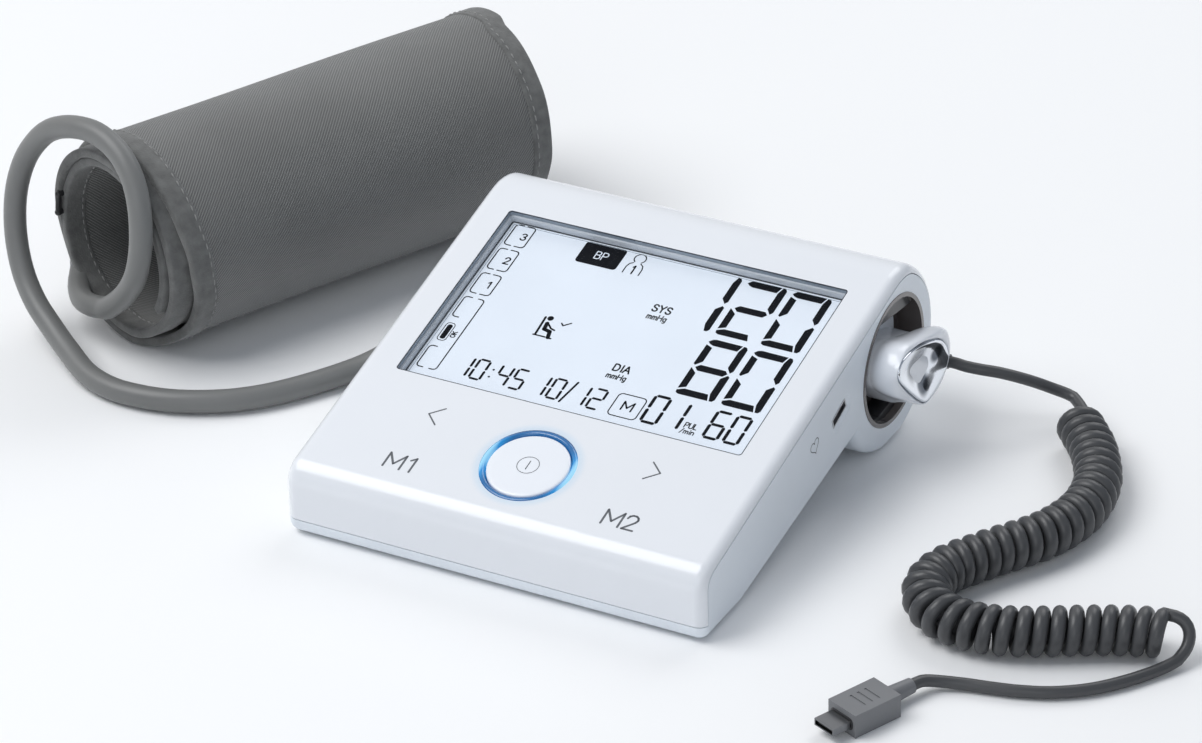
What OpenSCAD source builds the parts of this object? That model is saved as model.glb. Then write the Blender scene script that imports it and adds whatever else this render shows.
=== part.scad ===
// Upper arm blood pressure monitor with a docked hand-held electrode stick, a rolled cuff and an air hose.
// Origin: middle of the front rest strip, on the standing plane. +X to the dock side, +Y to the rear, +Z up.

/* [Body] */
// Overall width of the monitor across its side walls
body_w = 158; // [154:1:164]
// Tilt of the control panel above the horizontal
panel_tilt = 14.72; // [14:0.1:15.5]
// Height of the panel plane over the front rest strip
panel_z0 = 29.15; // [28.5:0.1:30]
// Distance from the front rest strip to the front face
front_y = 13; // [12.5:0.5:14]
// Radius of the nose between the front face and the panel
nose_r = 9; // [7:0.5:10]
// Radius of the rear roll that holds the dock
roll_r = 33.2; // [33:0.1:34]
// Distance from the front rest strip to the roll axis
roll_y = 129; // [128:0.5:130]
// Slope of the underside above the horizontal
under_tilt = 11.31; // [11:0.1:11.6]
// Wall thickness of the two shells
wall = 2.4; // [2:0.1:2.8]
// Height of the front seam between the two shells
seam_z = 6.3; // [5:0.1:7]
// Height of the shell above the standing plane
foot_gap = 0.6; // [0.4:0.1:1]

/* [Display] */
// Width of the display opening
window_w = 131.2; // [128:0.1:132]
// Height of the display opening along the slope
window_h = 84.2; // [82:0.1:85]
// Centre of the display opening along the slope
window_v = 83.4; // [83:0.1:84]

/* [Controls] */
// Centre of the start button along the slope
button_v = 14.3; // [14:0.1:15]
// Radius of the start button
button_r = 14.4; // [12:0.1:14.6]
// Outer radius of the light ring
ring_r = 16.6; // [16.4:0.1:17]
// Travel of the start button
button_travel = 0.8; // [0.4:0.1:1]

/* [Dock and stick] */
// Radius of the dock mouth
dock_r = 22.3; // [22:0.1:22.5]
// Outer end of the docked stick
stick_end_x = 91; // [88:1:94]
// Length of the stick
stick_len = 119; // [112:1:120]

/* [Cuff] */
// Outer radius of the rolled cuff
cuff_r = 39.6; // [39:0.1:39.6]
// Width of the cuff, along the roll
cuff_w = 162; // [158:1:162]
// Direction of the roll, turned from +Y towards +X
cuff_turn = 25; // [24:0.5:26]

/* [Hose and cords] */
// Outer diameter of the air hose
hose_d = 8.3; // [8:0.1:8.4]
// Diameter of the electrode cord
cord_d = 4.2; // [4:0.1:4.3]
// Outer diameter of the curly stretch of the cord
coil_d = 16.8; // [16:0.1:17]

/* [Battery] */
// Diameter of a cell
cell_d = 14.2; // [13.8:0.1:14.5]
// Length of a cell
cell_l = 50; // [49:0.1:50.5]

/* [Hidden] */
$fn = 96;
gap = 0.3;                  // clearance between pieces on different bodies
cut = 1;                    // how far a cutting shape runs past a face
half_w = body_w / 2;
roll_z = roll_r;            // the roll is tangent to the standing plane
skin = wall + 0.4;          // thickness of the top shell
seam_back_z = 40;           // where the seam ends on the back of the roll
dock_slack = 0.6;           // room round the stick in its channel
stick_in_x = stick_end_x - stick_len;
stick_split_z = 33.5;
stick_top = 44;             // top of the bar behind the grip
gland_y = 151.5;
gland_z = 23.6;
flare_x = 79.7;             // where the grip widens, just outside the dock
gland_r = 2.7;
gland_x = stick_end_x - 1.4;
bay_v = 27.5;               // centre of the battery bay along the underside
bay_w = 107;
bay_h = 34;
cover_hinge_v = bay_v - bay_h / 2 + 1.3;
cover_hinge_w = 1.5;
socket_y = 87.7;
socket_z = 33.8;
socket_turn = 21.4;
air_y = 122;
air_z = 28;
pump_y = 80;
pump_r = 9.6;
cuff_x = -193.7;            // near end of the roll's axis
cuff_y = 81.5;
port_angle = 214;           // where the air port leaves the roll, seen from its near end
port_r = 37.6;
port_elbow = [-225.66, 88.03, 18.12];
plug_at = [147, -19, 0];    // middle of the plug's back edge, on the standing plane
plug_turn = -113.3;
plug_l = 19;
plug_h = 8.4;

// Route of the air hose, from the cuff's port to the air plug
hose_route = [
    [-223.9, 84.3, 16.5], [-221.4, 79, 14.2], [-215.6, 72.1, 13.6], [-208, 67.2, 15.1],
    [-202.3, 65.3, 16.7], [-198.5, 63.5, 18.5], [-191, 60.5, 25], [-185, 58, 32], [-180, 55.5, 40],
    [-177, 54.5, 49], [-176, 54.8, 58], [-177.5, 57, 68], [-182, 60.5, 76.5], [-190, 64.5, 82.7],
    [-201, 68, 85.7], [-213, 70.5, 84.3], [-224, 72.8, 79.3], [-232.5, 74.3, 71], [-238, 74.5, 62],
    [-241, 73.2, 51.5], [-241, 70.7, 41], [-238.2, 67, 31.3], [-233.2, 62.8, 23], [-225.7, 58, 16.4],
    [-216, 52.9, 11.3], [-205, 46.6, 7.5], [-193, 39.8, 5], [-180.5, 36, 4.3], [-168.5, 35.8, 4.3],
    [-157.5, 37.8, 4.3], [-148, 41.6, 4.3], [-139, 46.8, 4.3], [-131.2, 53.4, 4.3],
    [-124.4, 61.4, 4.3], [-118.3, 70.4, 4.3], [-112.3, 79.5, 4.7], [-107, 86.3, 6],
    [-102, 91.8, 8.5], [-97.6, 96.8, 12.2], [-94.2, 101, 15.8], [-91.7, 104.9, 18.9], [-90, 110, 21.6]
];
air_elbow = [-86, air_y, air_z];

// Route of the electrode cord from the stick down to the curly stretch
cord_upper_route = [
    [gland_x + 0.05, gland_y, gland_z], [92.6, gland_y, gland_z], [95.6, 151.7, 23.2],
    [100.7, 153.1, 22.5], [106.4, 155.5, 21.5], [112.2, 158.5, 19.6], [117.5, 162, 17], [122, 166, 13.7], [127, 168, 11.6],
    [131.2, 167.2, 10.7], [133.7, 164.3, 10.2], [135.3, 162.4, 10.2]
];
// Route of the middle of the curly stretch
coil_route = [
    [133, 160.5], [140, 152], [147, 143.5], [152.5, 134.5], [157, 125], [159.5, 114.5], [160, 103.5],
    [158, 93], [154.5, 84], [149.7, 76], [145, 69], [140.5, 61.5], [136.2, 54], [133.8, 46],
    [134.2, 38], [138, 31], [144, 26.2], [151, 24.2], [158.5, 24.2], [165.5, 25.7], [172, 28.2],
    [181, 32.8], [190, 37.8], [199, 42.3], [206.5, 45.4], [213.5, 47.6]
];
// Route of the straight cord from the curly stretch back to the plug
cord_lower_route = [
    [212.8, 50, 12.6], [216.1, 51, 12.4], [219.6, 51.6, 11], [222.2, 50.4, 8.3],
    [222.3, 48, 5.4], [220.5, 43, 3.2],
    [216, 35, 2.2], [209, 24.5, 2.2], [201, 15.8, 2.2], [191.5, 9.2, 2.2], [182, 5.3, 2.2],
    [173, 3, 2.2], [165, 1.2, 2.3], [158.5, -1.3, 2.8],
    [154.9, -3.6, 3.5], [152.6, -6.1, 4.1], [151, -9.8, 4.2]
];

// Points of an arc from angle a0 to a1
function arc(c, r, a0, a1, n = 10) =
    [for (i = [0:n]) c + r * [cos(a0 + (a1 - a0) * i / n), sin(a0 + (a1 - a0) * i / n)]];
// Height of the panel plane and of the underside at y
function panel_z(y) = panel_z0 + tan(panel_tilt) * y;
under_y0 = 10.7;            // where the underside leaves the standing plane
function under_z(y) = tan(under_tilt) * (y - under_y0);

// A frame on the panel: x across, y up the slope, z out of the panel
module on_panel() {
    translate([0, 0, panel_z0]) rotate([panel_tilt, 0, 0]) children();
}
// A frame on the underside: x across, y up the slope, z into the body
module on_under() {
    translate([0, under_y0, 0]) rotate([under_tilt, 0, 0]) children();
}
// A side profile drawn as (y, z), carried across from x0 to x1
module across(x0, x1) {
    translate([x0, 0, 0]) rotate([90, 0, 90]) linear_extrude(x1 - x0) children();
}
module bar_x(r, x0, x1, y, z) {
    translate([x0, y, z]) rotate([0, 90, 0]) cylinder(r = r, h = x1 - x0);
}
module ring_x(r_out, r_in, x0, x1, y, z) {
    difference() {
        bar_x(r_out, x0, x1, y, z);
        bar_x(r_in, x0 - cut, x1 + cut, y, z);
    }
}
module slab(w, h, t) {
    translate([-w / 2, -h / 2, 0]) cube([w, h, t]);
}

// Side profile of the whole body, drawn d inside the outer faces
module body_profile(d = 0) {
    nose_y = nose_r - front_y;
    nose_z = panel_z(nose_y) - nose_r / cos(panel_tilt);
    toe_r = 4;
    roll_meet = roll_y + 6;
    intersection() {
        union() {
            polygon(concat(
                arc([toe_r - front_y, toe_r + foot_gap], toe_r - d, 270, 180),
                arc([nose_y, nose_z], nose_r - d, 180, 90 + panel_tilt),
                [[roll_meet, panel_z(roll_meet) - d / cos(panel_tilt)], [roll_meet, roll_z],
                 [roll_y - 12, under_z(roll_y - 12) + d / cos(under_tilt)],
                 [under_y0 + (foot_gap + d - d / cos(under_tilt)) / tan(under_tilt), foot_gap + d]]
            ));
            translate([roll_y, roll_z]) circle(r = roll_r - d);
        }
        polygon([[-front_y, foot_gap + d], [-front_y, panel_z(-front_y) - d / cos(panel_tilt)],
                 [roll_y + roll_r, panel_z(roll_y + roll_r) - d / cos(panel_tilt)],
                 [roll_y + roll_r, foot_gap + d]]);
    }
}
// The part of the side profile that belongs to the top shell: a band over the front, panel and roll
module top_region(fit = 0) {
    difference() {
        body_profile();
        body_profile(skin - fit);
        polygon([[-front_y - cut, -cut], [-front_y - cut, seam_z + fit], [skin * 2 - front_y, seam_z + fit],
                 [roll_y - 9, seam_back_z], [roll_y + roll_r + cut, seam_back_z],
                 [roll_y + roll_r + cut, -cut]]);
    }
}

// Corner points of a rounded polygon: pts run anticlockwise, r is the corner radius
function edge_turn(a, b) = atan2(b[1] - a[1], b[0] - a[0]) - 90;
function rounded(pts, r, n = 8) = [
    for (i = [0:len(pts) - 1])
        let (before = pts[(i + len(pts) - 1) % len(pts)], after = pts[(i + 1) % len(pts)],
             a0 = edge_turn(before, pts[i]), turn = edge_turn(pts[i], after) - a0)
        each arc(pts[i], r, a0, a0 + (turn < 0 ? turn + 360 : turn), n)
];
// Sections of the docked stick, as (y, z): the grip end and the slimmer bar behind it
module knob_section(d = 0) {
    polygon(rounded([[117.5, 39.5], [131.5, 23.5], [139, 37]], 8.5 - d));
}
module flare_section(d = 0) {
    polygon(rounded([[114.5, 41], [134, 20.5], [146, 21], [146, 29.5]], 9 - d));
}
module cap_section() {
    polygon(rounded([[113.5, 41], [133.5, 22], [143.3, 22.5], [143.3, 29]], 5));
}
module bar_section(d = 0) {
    polygon(rounded([[118, 37], [118, 30], [140, 30], [140, 37]], 7 - d));
}

// A cylinder of radius r from point p to point q
module between(p, q, r) {
    d = q - p;
    translate(p) rotate([0, acos(d[2] / norm(d)), atan2(d[1], d[0])]) cylinder(r = r, h = norm(d));
}
// A tube of radius r along a route, with a ring of n points at every route point.
// The rings turn as little as they can from one point to the next.
function unit(v) = v / norm(v);
function heading(p, i) = unit(p[min(i + 1, len(p) - 1)] - p[max(i - 1, 0)]);
function square_to(v, t) = unit(v - (v * t) * t);
module swept(p, r, n) {
    last = len(p) - 1;
    sides = [for (i = 0, s = square_to([0, 0, 1], heading(p, 0)); i <= last;
                  i = i + 1, s = square_to(s, heading(p, min(i, last)))) s];
    rings = [for (i = [0:last])
        let (other = cross(sides[i], heading(p, i)))
        for (k = [0:n - 1]) p[i] + r * (cos(360 * k / n) * sides[i] + sin(360 * k / n) * other)];
    polyhedron(rings, concat(
        [[for (k = [0:n - 1]) k]],
        [for (i = [0:last - 1], k = [0:n - 1])
            let (a = i * n + k, b = i * n + (k + 1) % n)
            each [[a, a + n, b], [b, a + n, b + n]]],
        [[for (k = [n - 1:-1:0]) last * n + k]]
    ));
}

// ---- Monitor shells ----
module window_cut() {
    on_panel() translate([0, window_v, -skin - cut]) slab(window_w, window_h, skin + 2 * cut);
}
module top_shell() {
    color("white") difference() {
        across(-half_w, half_w) top_region();
        window_cut();
        on_panel() translate([0, button_v, -skin * 2]) cylinder(r = ring_r + 0.05, h = skin * 3);
    }
}
module battery_bay() {
    on_under() difference() {
        translate([0, bay_v, wall / 2]) slab(bay_w + 3.2, bay_h + 3.2, 18.6);
        translate([0, bay_v, -cut]) slab(bay_w, bay_h, 18.4 + cut);
    }
}
module screw_places() {
    for (x = [-66, 66], v = [8, 84]) on_under() translate([x, v, 0]) children();
}
module bottom_shell() {
    color("aliceblue") difference() {
        union() {
            across(-half_w, half_w) difference() {
                body_profile();
                body_profile(wall);
                top_region();
            }
            for (x = [-half_w, half_w - wall]) across(x, x + wall) difference() {
                body_profile();
                top_region();
            }
            battery_bay();
            screw_places() cylinder(r = 3.6, h = 14);
        }
        on_under() translate([0, bay_v, -cut]) slab(bay_w, bay_h, wall + 2 * cut);
        screw_places() translate([0, 0, -cut]) cylinder(r = 1.25, h = 12 + cut);
        screw_places() translate([0, 0, -cut]) cylinder(r = 3, h = 1.8 + cut);
        bar_x(dock_r + 1.7, half_w - wall - cut, half_w + cut, roll_y, roll_z);
        bar_x(5.6, -half_w - cut, wall + cut - half_w, air_y, air_z);
        translate([half_w, socket_y, socket_z]) rotate([socket_turn, 0, 0])
            translate([-wall - cut, -5.4, -2.1]) cube([wall + 2 * cut, 10.8, 4.2]);
        for (y = [0, roll_y]) translate([-50, y - 4, -cut]) cube([100, 8, foot_gap + 0.9 + cut]);
    }
}
module case_screws() {
    color("silver") screw_places() {
        translate([0, 0, 0.3]) cylinder(r = 2.7, h = 1.4);
        translate([0, 0, 1.6]) cylinder(r = 1.25, h = 9);
    }
}
module rubber_feet() {
    color("dimgray") for (y = [0, roll_y]) translate([-50, y - 4, 0]) cube([100, 8, foot_gap + 0.9]);
}

// ---- Display and electronics ----
module display_frame() {
    color("lightsteelblue") on_panel() difference() {
        translate([0, window_v, -skin + 0.3]) slab(window_w - 0.1, window_h - 0.1, skin - 0.6);
        translate([0, window_v, -skin - cut]) slab(window_w - 4.4, window_h - 4.4, skin + 2 * cut);
    }
}
module panel_layer(w0, w1, w, h) {
    on_panel() translate([0, window_v, w0]) slab(w, h, w1 - w0);
}
module display_window() {
    color("azure", 0.4) panel_layer(-4.1, -skin - 0.1, 136, 88);
}
module lcd_panel() {
    color("ghostwhite") panel_layer(-6.4, -4.2, 128, 81);
}
module backlight() {
    color("white") panel_layer(-8.9, -6.5, 128, 81);
}
module display_holder() {
    color("gainsboro") difference() {
        panel_layer(-9.2, -4.2, 136, 88);
        panel_layer(-9.2 - cut, -4.2 + cut, 128.6, 81.6);
    }
}
module main_board() {
    color("darkgreen") on_panel() translate([0, 50, -11.2]) slab(144, 108, 1.6);
}
module board_chips() {
    color("black") on_panel() {
        for (c = [[20, 60, 10, 10], [-25, 70, 7, 7], [45, 62, 5, 4], [-48, 66, 6, 5], [5, 8, 5, 5]])
            translate([c[0], c[1], -12.5]) slab(c[2], c[3], 1.3);
    }
}
module start_button() {
    color("white") on_panel() translate([0, button_v, 0]) {
        translate([0, 0, -2]) cylinder(r = button_r, h = 2.5);
        translate([0, 0, -4.7]) cylinder(r = 3, h = 2.8);
    }
}
module light_ring() {
    color("deepskyblue") on_panel() translate([0, button_v, -4]) difference() {
        cylinder(r = ring_r, h = 4.1);
        translate([0, 0, -cut]) cylinder(r = button_r + 0.4, h = 4.1 + 2 * cut);
    }
}
module start_switch() {
    color("black") on_panel() translate([0, button_v, -9.6]) {
        slab(6, 6, 2.8);
        cylinder(r = 1.7, h = 3.7);
    }
}
module touch_springs() {
    color("gold") for (p = [[-42, 1], [41, 1], [-40, 24.8], [40, 24.8]])
        on_panel() translate([p[0], p[1], -9.6]) difference() {
            cylinder(r = 4, h = 9.6 - skin);
            translate([0, 0, -cut]) cylinder(r = 3.2, h = 9.6);
        }
}
module buzzer() {
    color("black") on_panel() translate([57, 14, -9.6]) difference() {
        cylinder(r = 6, h = 4);
        translate([0, 0, 2]) cylinder(r = 1, h = 2 + cut);
    }
}
module pressure_sensor() {
    color("dimgray") on_panel() {
        translate([24, 84, -14.4]) slab(8, 8, 3.1);
        translate([24, 84, -18]) cylinder(r = 1.5, h = 3.7);
    }
}

// ---- Dock for the stick ----
module dock_mouth() {
    color("dimgray") {
        ring_x(dock_r + 1.6, dock_r, 68.4, half_w + 0.2, roll_y, roll_z);
        difference() {
            bar_x(dock_r + 0.2, 68.4, 69.8, roll_y, roll_z);
            across(68, 70) bar_section(-dock_slack);
        }
    }
}
module dock_channel() {
    color("dimgray") difference() {
        across(-32, 68.3) bar_section(-dock_slack - 1.2);
        across(-30, 68.3 + cut) bar_section(-dock_slack);
        for (y = [120, 126, 132, 138]) bar_x(0.9, -33, -29, y, 33.5);
    }
}
module dock_rails() {
    color("black") intersection() {
        bar_x(dock_r - 0.1, 69.9, 76.5, roll_y, roll_z);
        across(69.9, 76.5) {
            polygon([[104, 56], [104, 50.6], [113, 50.2], [153, 45.4], [153, 60]]);
            polygon([[104, 17], [122, 13.6], [148, 16.6], [153, 8], [104, 8]]);
        }
    }
}
module dock_contacts() {
    color("gold") for (y = [120, 126, 132, 138]) bar_x(0.9, -33, -28.8, y, 33.5);
}

// ---- Sockets ----
module at_socket() {
    translate([half_w, socket_y, socket_z]) rotate([socket_turn, 0, 0]) children();
}
module ecg_socket() {
    color("gray") at_socket() difference() {
        translate([-9, -5.3, -2]) cube([8.4, 10.6, 4]);
        translate([-8, -4.7, -1.4]) cube([8.4, 9.4, 2.8]);
    }
}
module ecg_socket_tongue() {
    color("black") at_socket() translate([-8, -3.4, -0.4]) cube([6, 6.8, 0.8]);
}
module air_socket() {
    color("gray") difference() {
        union() {
            bar_x(7, wall - half_w, wall + 2 - half_w, air_y, air_z);
            bar_x(5.5, -half_w, -63, air_y, air_z);
            bar_x(2.2, -63.1, -60, air_y, air_z);
        }
        bar_x(3.05, -half_w - cut, -65, air_y, air_z);
        bar_x(1, -66, -59, air_y, air_z);
    }
}

// ---- Air system ----
module tube_run(r) {
    bar_x(r, -59.9, -54, air_y, air_z);
    between([-54, air_y, air_z], [-54, 98, air_z], r);
    bar_x(r, -54, 12, 98, air_z);
    between([-24, 98, air_z], [-24, 93, air_z], r);
    between([12, 98, air_z], [12, 90.5, air_z], r);
    for (p = [[-54, air_y], [-54, 98], [12, 98]]) translate([p[0], p[1], air_z]) sphere(r = r, $fn = 48);
}
module inner_tubes() {
    color("lightgray") difference() {
        tube_run(2.6);
        tube_run(1.4);
        bar_x(1.4, -61, -54, air_y, air_z);
        between([-24, 94, air_z], [-24, 92, air_z], 1.4);
        between([12, 92, air_z], [12, 90, air_z], 1.4);
    }
}
module pump_motor() {
    color("silver") difference() {
        bar_x(pump_r, -60, -36, pump_y, air_z);
        bar_x(1.06, -38, -36 + cut, pump_y, air_z);
    }
}
module pump_head() {
    color("dimgray") difference() {
        union() {
            bar_x(pump_r, -35.8, -14, pump_y, air_z);
            between([-24, pump_y + 8, air_z], [-24, 92.9, air_z], 2.2);
        }
        bar_x(7.4, -33, -16, pump_y, air_z);
        bar_x(1.5, -36, -32, pump_y, air_z);
        between([-24, pump_y + 6, air_z], [-24, 94, air_z], 1);
    }
}
module pump_shaft() {
    color("silver") {
        bar_x(1, -37.8, -20, pump_y, air_z);
        bar_x(5, -27, -21, pump_y + 1.4, air_z);
    }
}
module valve_at() {
    translate([12, pump_y, 18.2]) children();
}
module release_valve() {
    color("gray") difference() {
        union() {
            valve_at() cylinder(r = 7, h = 13);
            between([12, pump_y + 6, air_z], [12, 90.4, air_z], 2.2);
        }
        valve_at() translate([0, 0, 4]) cylinder(r = 2.05, h = 10);
        between([12, pump_y + 3, air_z], [12, 91, air_z], 1);
    }
}
module valve_plunger() {
    color("silver") valve_at() {
        translate([0, 0, 6]) cylinder(r = 2, h = 11.2);
        translate([0, 0, 17]) cylinder(r = 3.6, h = 1);
    }
}
module valve_spring() {
    color("gold") valve_at() translate([0, 0, 13.1]) difference() {
        cylinder(r = 3.3, h = 3.8);
        translate([0, 0, -cut]) cylinder(r = 2.5, h = 3.8 + 2 * cut);
    }
}

// ---- Batteries ----
module cell_places() {
    for (x = [-26, 26], v = [-7.7, 7.7])
        on_under() translate([x - cell_l / 2, bay_v + v, wall + 7.9]) rotate([0, 90, 0]) children();
}
module batteries() {
    color("darkslategray") cell_places() {
        cylinder(d = cell_d, h = cell_l - 1);
        translate([0, 0, cell_l - 1.1]) cylinder(r = 2.7, h = 1.1);
    }
}
module battery_contacts() {
    color("silver") for (x = [-bay_w / 2 + 0.1, bay_w / 2 - 0.7], v = [-7.7, 7.7])
        on_under() translate([x, bay_v + v - 5, wall + 3]) cube([0.6, 10, 10]);
    color("silver") for (v = [-7.7, 7.7])
        on_under() translate([-0.6, bay_v + v - 5, wall + 3]) cube([0.5, 10, 10]);
}
module battery_cover() {
    color("aliceblue") on_under() {
        translate([0, bay_v + 0.85, 0]) slab(bay_w - 2 * gap, bay_h - 2.3, wall - 0.2);
        translate([0, cover_hinge_v, cover_hinge_w]) rotate([0, 90, 0])
            translate([0, 0, 1 - bay_w / 2]) cylinder(r = 0.9, h = bay_w - 2);
    }
}

// ---- Electrode stick ----
module stick_body(d) {
    across(stick_in_x + d, 72 + d) bar_section(d);
    across(70.4 + d, flare_x + 0.3 + d) knob_section(d);
    across(flare_x + d, stick_end_x - 2.4 - d * 0.8) flare_section(d);
}
module stick_shell_half(z0, z1) {
    difference() {
        stick_body(0);
        stick_body(1.8);
        translate([stick_in_x - cut, 100, z0]) cube([stick_len + 2 * cut, 60, z1 - z0]);
    }
}
module stick_front_shell() {
    color("white") difference() {
        stick_shell_half(0, stick_split_z);
        translate([-18, roll_y, stick_top - 0.5]) slab(14.2, 10.2, cut);
        bar_x(gland_r, stick_end_x - 8, stick_end_x, gland_y, gland_z);
    }
}
module stick_rear_shell() {
    color("white") difference() {
        stick_shell_half(stick_split_z, 60);
        bar_x(gland_r, stick_end_x - 8, stick_end_x, gland_y, gland_z);
    }
}
module end_electrode() {
    color("silver") across(stick_end_x - 2.3, stick_end_x) cap_section();
}
module inner_electrode() {
    color("silver") translate([-18, roll_y, stick_top - 0.5]) slab(14, 10, 0.6);
}
module stick_board() {
    color("darkgreen") translate([-20, 119, 34.2]) cube([86, 20, 1.2]);
}
module cord_gland() {
    color("dimgray") difference() {
        bar_x(gland_r - 0.1, stick_end_x - 6, gland_x, gland_y, gland_z);
        bar_x(0.8, stick_end_x - 7, gland_x - 1.6, gland_y, gland_z);
    }
}

// ---- Cord and plug ----
module cord_upper() {
    color("dimgray") swept(cord_upper_route, cord_d / 2, 8);
}
module cord_coil() {
    color("dimgray") swept([for (p = coil_route) [p[0], p[1], coil_d / 2 + 0.1]], coil_d / 2, 12);
}
module cord_lower() {
    color("dimgray") swept(cord_lower_route, cord_d / 2, 8);
}
module at_plug() {
    translate(plug_at) rotate([0, 0, plug_turn]) children();
}
module plug_relief() {
    color("dimgray") at_plug() translate([-10, 0, plug_h / 2]) rotate([0, 90, 0])
        cylinder(r1 = 2.6, r2 = 3.1, h = 9.9);
}
module plug_body() {
    color("gray") at_plug() difference() {
        translate([0, -6.5, 0]) cube([plug_l, 13, plug_h]);
        for (x = [6, 9, 12]) translate([x, -3.5, plug_h - 0.3]) cube([0.8, 7, cut]);
    }
}
module plug_shell() {
    color("silver") at_plug() translate([plug_l + 0.1, 0, plug_h / 2]) difference() {
        translate([0, -4.5, -1.3]) cube([7.4, 9, 2.6]);
        translate([0.6, -4.1, -0.9]) cube([7.4, 8.2, 1.8]);
    }
}
module plug_tongue() {
    color("black") at_plug() translate([plug_l + 0.7, -3.3, plug_h / 2 - 0.35]) cube([6, 6.6, 0.7]);
}

// ---- Cuff, hose and air plug ----
module on_cuff() {
    translate([cuff_x, cuff_y, cuff_r]) rotate([0, 0, -cuff_turn]) children();
}
module roll(r_out, r_in, y0, y1) {
    on_cuff() translate([0, y0, 0]) rotate([-90, 0, 0]) difference() {
        cylinder(r = r_out, h = y1 - y0);
        translate([0, 0, -cut]) cylinder(r = r_in, h = y1 - y0 + 2 * cut);
    }
}
module port_stem(r, y0, y1, inset = 0) {
    reach = port_r - inset;
    on_cuff() translate([reach * cos(port_angle), y0, reach * sin(port_angle)])
        rotate([-90, 0, 0]) cylinder(r = r, h = y1 - y0);
}
module cuff_wrap() {
    color("dimgray") roll(cuff_r - 0.3, cuff_r - 1.8, 4, cuff_w - 6);
}
module near_binding() {
    color("dimgray") difference() {
        roll(cuff_r, cuff_r - 5.4, -3, 3.9);
        port_stem(0.9, -4, 5, 0.8);
    }
}
module far_binding() {
    color("dimgray") roll(cuff_r, cuff_r - 5.4, cuff_w - 5.9, cuff_w - 2.5);
}
module cuff_bladder() {
    color("gray") roll(cuff_r - 2, cuff_r - 3.6, 8, cuff_w - 12);
}
module cuff_lining() {
    color("dimgray") {
        roll(cuff_r - 3.8, cuff_r - 5.3, 4, cuff_w - 6);
        roll(31.4, 27.8, -11, cuff_w - 14);
    }
}
module hook_patch() {
    color("black") intersection() {
        roll(32.4, 31.5, 14, 124);
        on_cuff() translate([0, 10, 0]) cube([60, 120, 60]);
    }
}
module d_ring() {
    color("black") on_cuff() {
        for (a = [178, 164]) translate([32.85 * cos(a), -15, 32.85 * sin(a)])
            rotate([-90, 0, 0]) cylinder(r = 1.1, h = cuff_w - 2);
        for (y = [-15, cuff_w - 17]) {
            between([32.85 * cos(178), y, 32.85 * sin(178)], [32.85 * cos(164), y, 32.85 * sin(164)], 1.1);
            for (a = [178, 164]) translate([32.85 * cos(a), y, 32.85 * sin(a)]) sphere(r = 1.3, $fn = 32);
        }
    }
}
module cuff_port() {
    color("gray") {
        port_stem(3.9, -7.2, -3.1);
        translate(port_elbow) sphere(r = 4.4, $fn = 64);
        leg = hose_route[0] - port_elbow;
        between(port_elbow, port_elbow + unit(leg) * (norm(leg) - 0.03), 4.1);
        port_stem(0.8, -3.4, 7.9, 0.8);
    }
}
module air_hose() {
    color("slategray") swept(hose_route, hose_d / 2, 10);
}
module air_plug() {
    last = hose_route[len(hose_route) - 1];
    out = unit(last - air_elbow);
    color("gray") difference() {
        union() {
            bar_x(3, -half_w - gap, -68, air_y, air_z);
            bar_x(6, -92, -half_w - gap, air_y, air_z);
            between(air_elbow, last - out * 0.1, 5);
        }
        bar_x(1.2, -86, -67, air_y, air_z);
        ring_x(3.1, 2.4, -74, -72.6, air_y, air_z);
    }
}
module plug_seal() {
    color("black") ring_x(2.95, 2.45, -73.8, -72.8, air_y, air_z);
}

top_shell();
bottom_shell();
display_frame();
display_window();
lcd_panel();
backlight();
display_holder();
main_board();
board_chips();
start_button();
light_ring();
start_switch();
touch_springs();
buzzer();
dock_mouth();
dock_channel();
dock_rails();
dock_contacts();
ecg_socket();
ecg_socket_tongue();
air_socket();
inner_tubes();
pump_motor();
pump_head();
pump_shaft();
release_valve();
valve_plunger();
valve_spring();
pressure_sensor();
batteries();
battery_contacts();
battery_cover();
rubber_feet();
case_screws();
stick_front_shell();
stick_rear_shell();
end_electrode();
inner_electrode();
stick_board();
cord_gland();
cord_upper();
cord_coil();
cord_lower();
plug_relief();
plug_body();
plug_shell();
plug_tongue();
cuff_wrap();
cuff_bladder();
cuff_lining();
hook_patch();
d_ring();
near_binding();
far_binding();
cuff_port();
air_hose();
air_plug();
plug_seal();
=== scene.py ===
import bpy, bmesh, math
from math import sin, cos, pi, radians, sqrt
from mathutils import Vector, Matrix


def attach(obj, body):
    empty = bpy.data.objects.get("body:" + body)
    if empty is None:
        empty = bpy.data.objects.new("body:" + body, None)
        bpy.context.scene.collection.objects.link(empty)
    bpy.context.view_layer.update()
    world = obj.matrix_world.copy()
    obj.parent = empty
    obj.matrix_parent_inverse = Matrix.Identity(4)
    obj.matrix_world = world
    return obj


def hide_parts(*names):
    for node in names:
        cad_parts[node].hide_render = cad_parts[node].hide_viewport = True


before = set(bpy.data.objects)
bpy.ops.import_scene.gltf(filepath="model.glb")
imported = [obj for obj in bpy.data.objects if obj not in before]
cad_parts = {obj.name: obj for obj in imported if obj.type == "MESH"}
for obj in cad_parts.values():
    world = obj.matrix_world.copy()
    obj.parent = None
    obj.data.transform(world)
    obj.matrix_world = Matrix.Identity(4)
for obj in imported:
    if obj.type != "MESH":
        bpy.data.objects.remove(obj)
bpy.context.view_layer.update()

MM = 0.001
scene = bpy.context.scene
scene.view_settings.view_transform = "Standard"
scene.view_settings.look = "None"


# ---- small helpers ----
def link(obj):
    scene.collection.objects.link(obj)
    return obj


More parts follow.
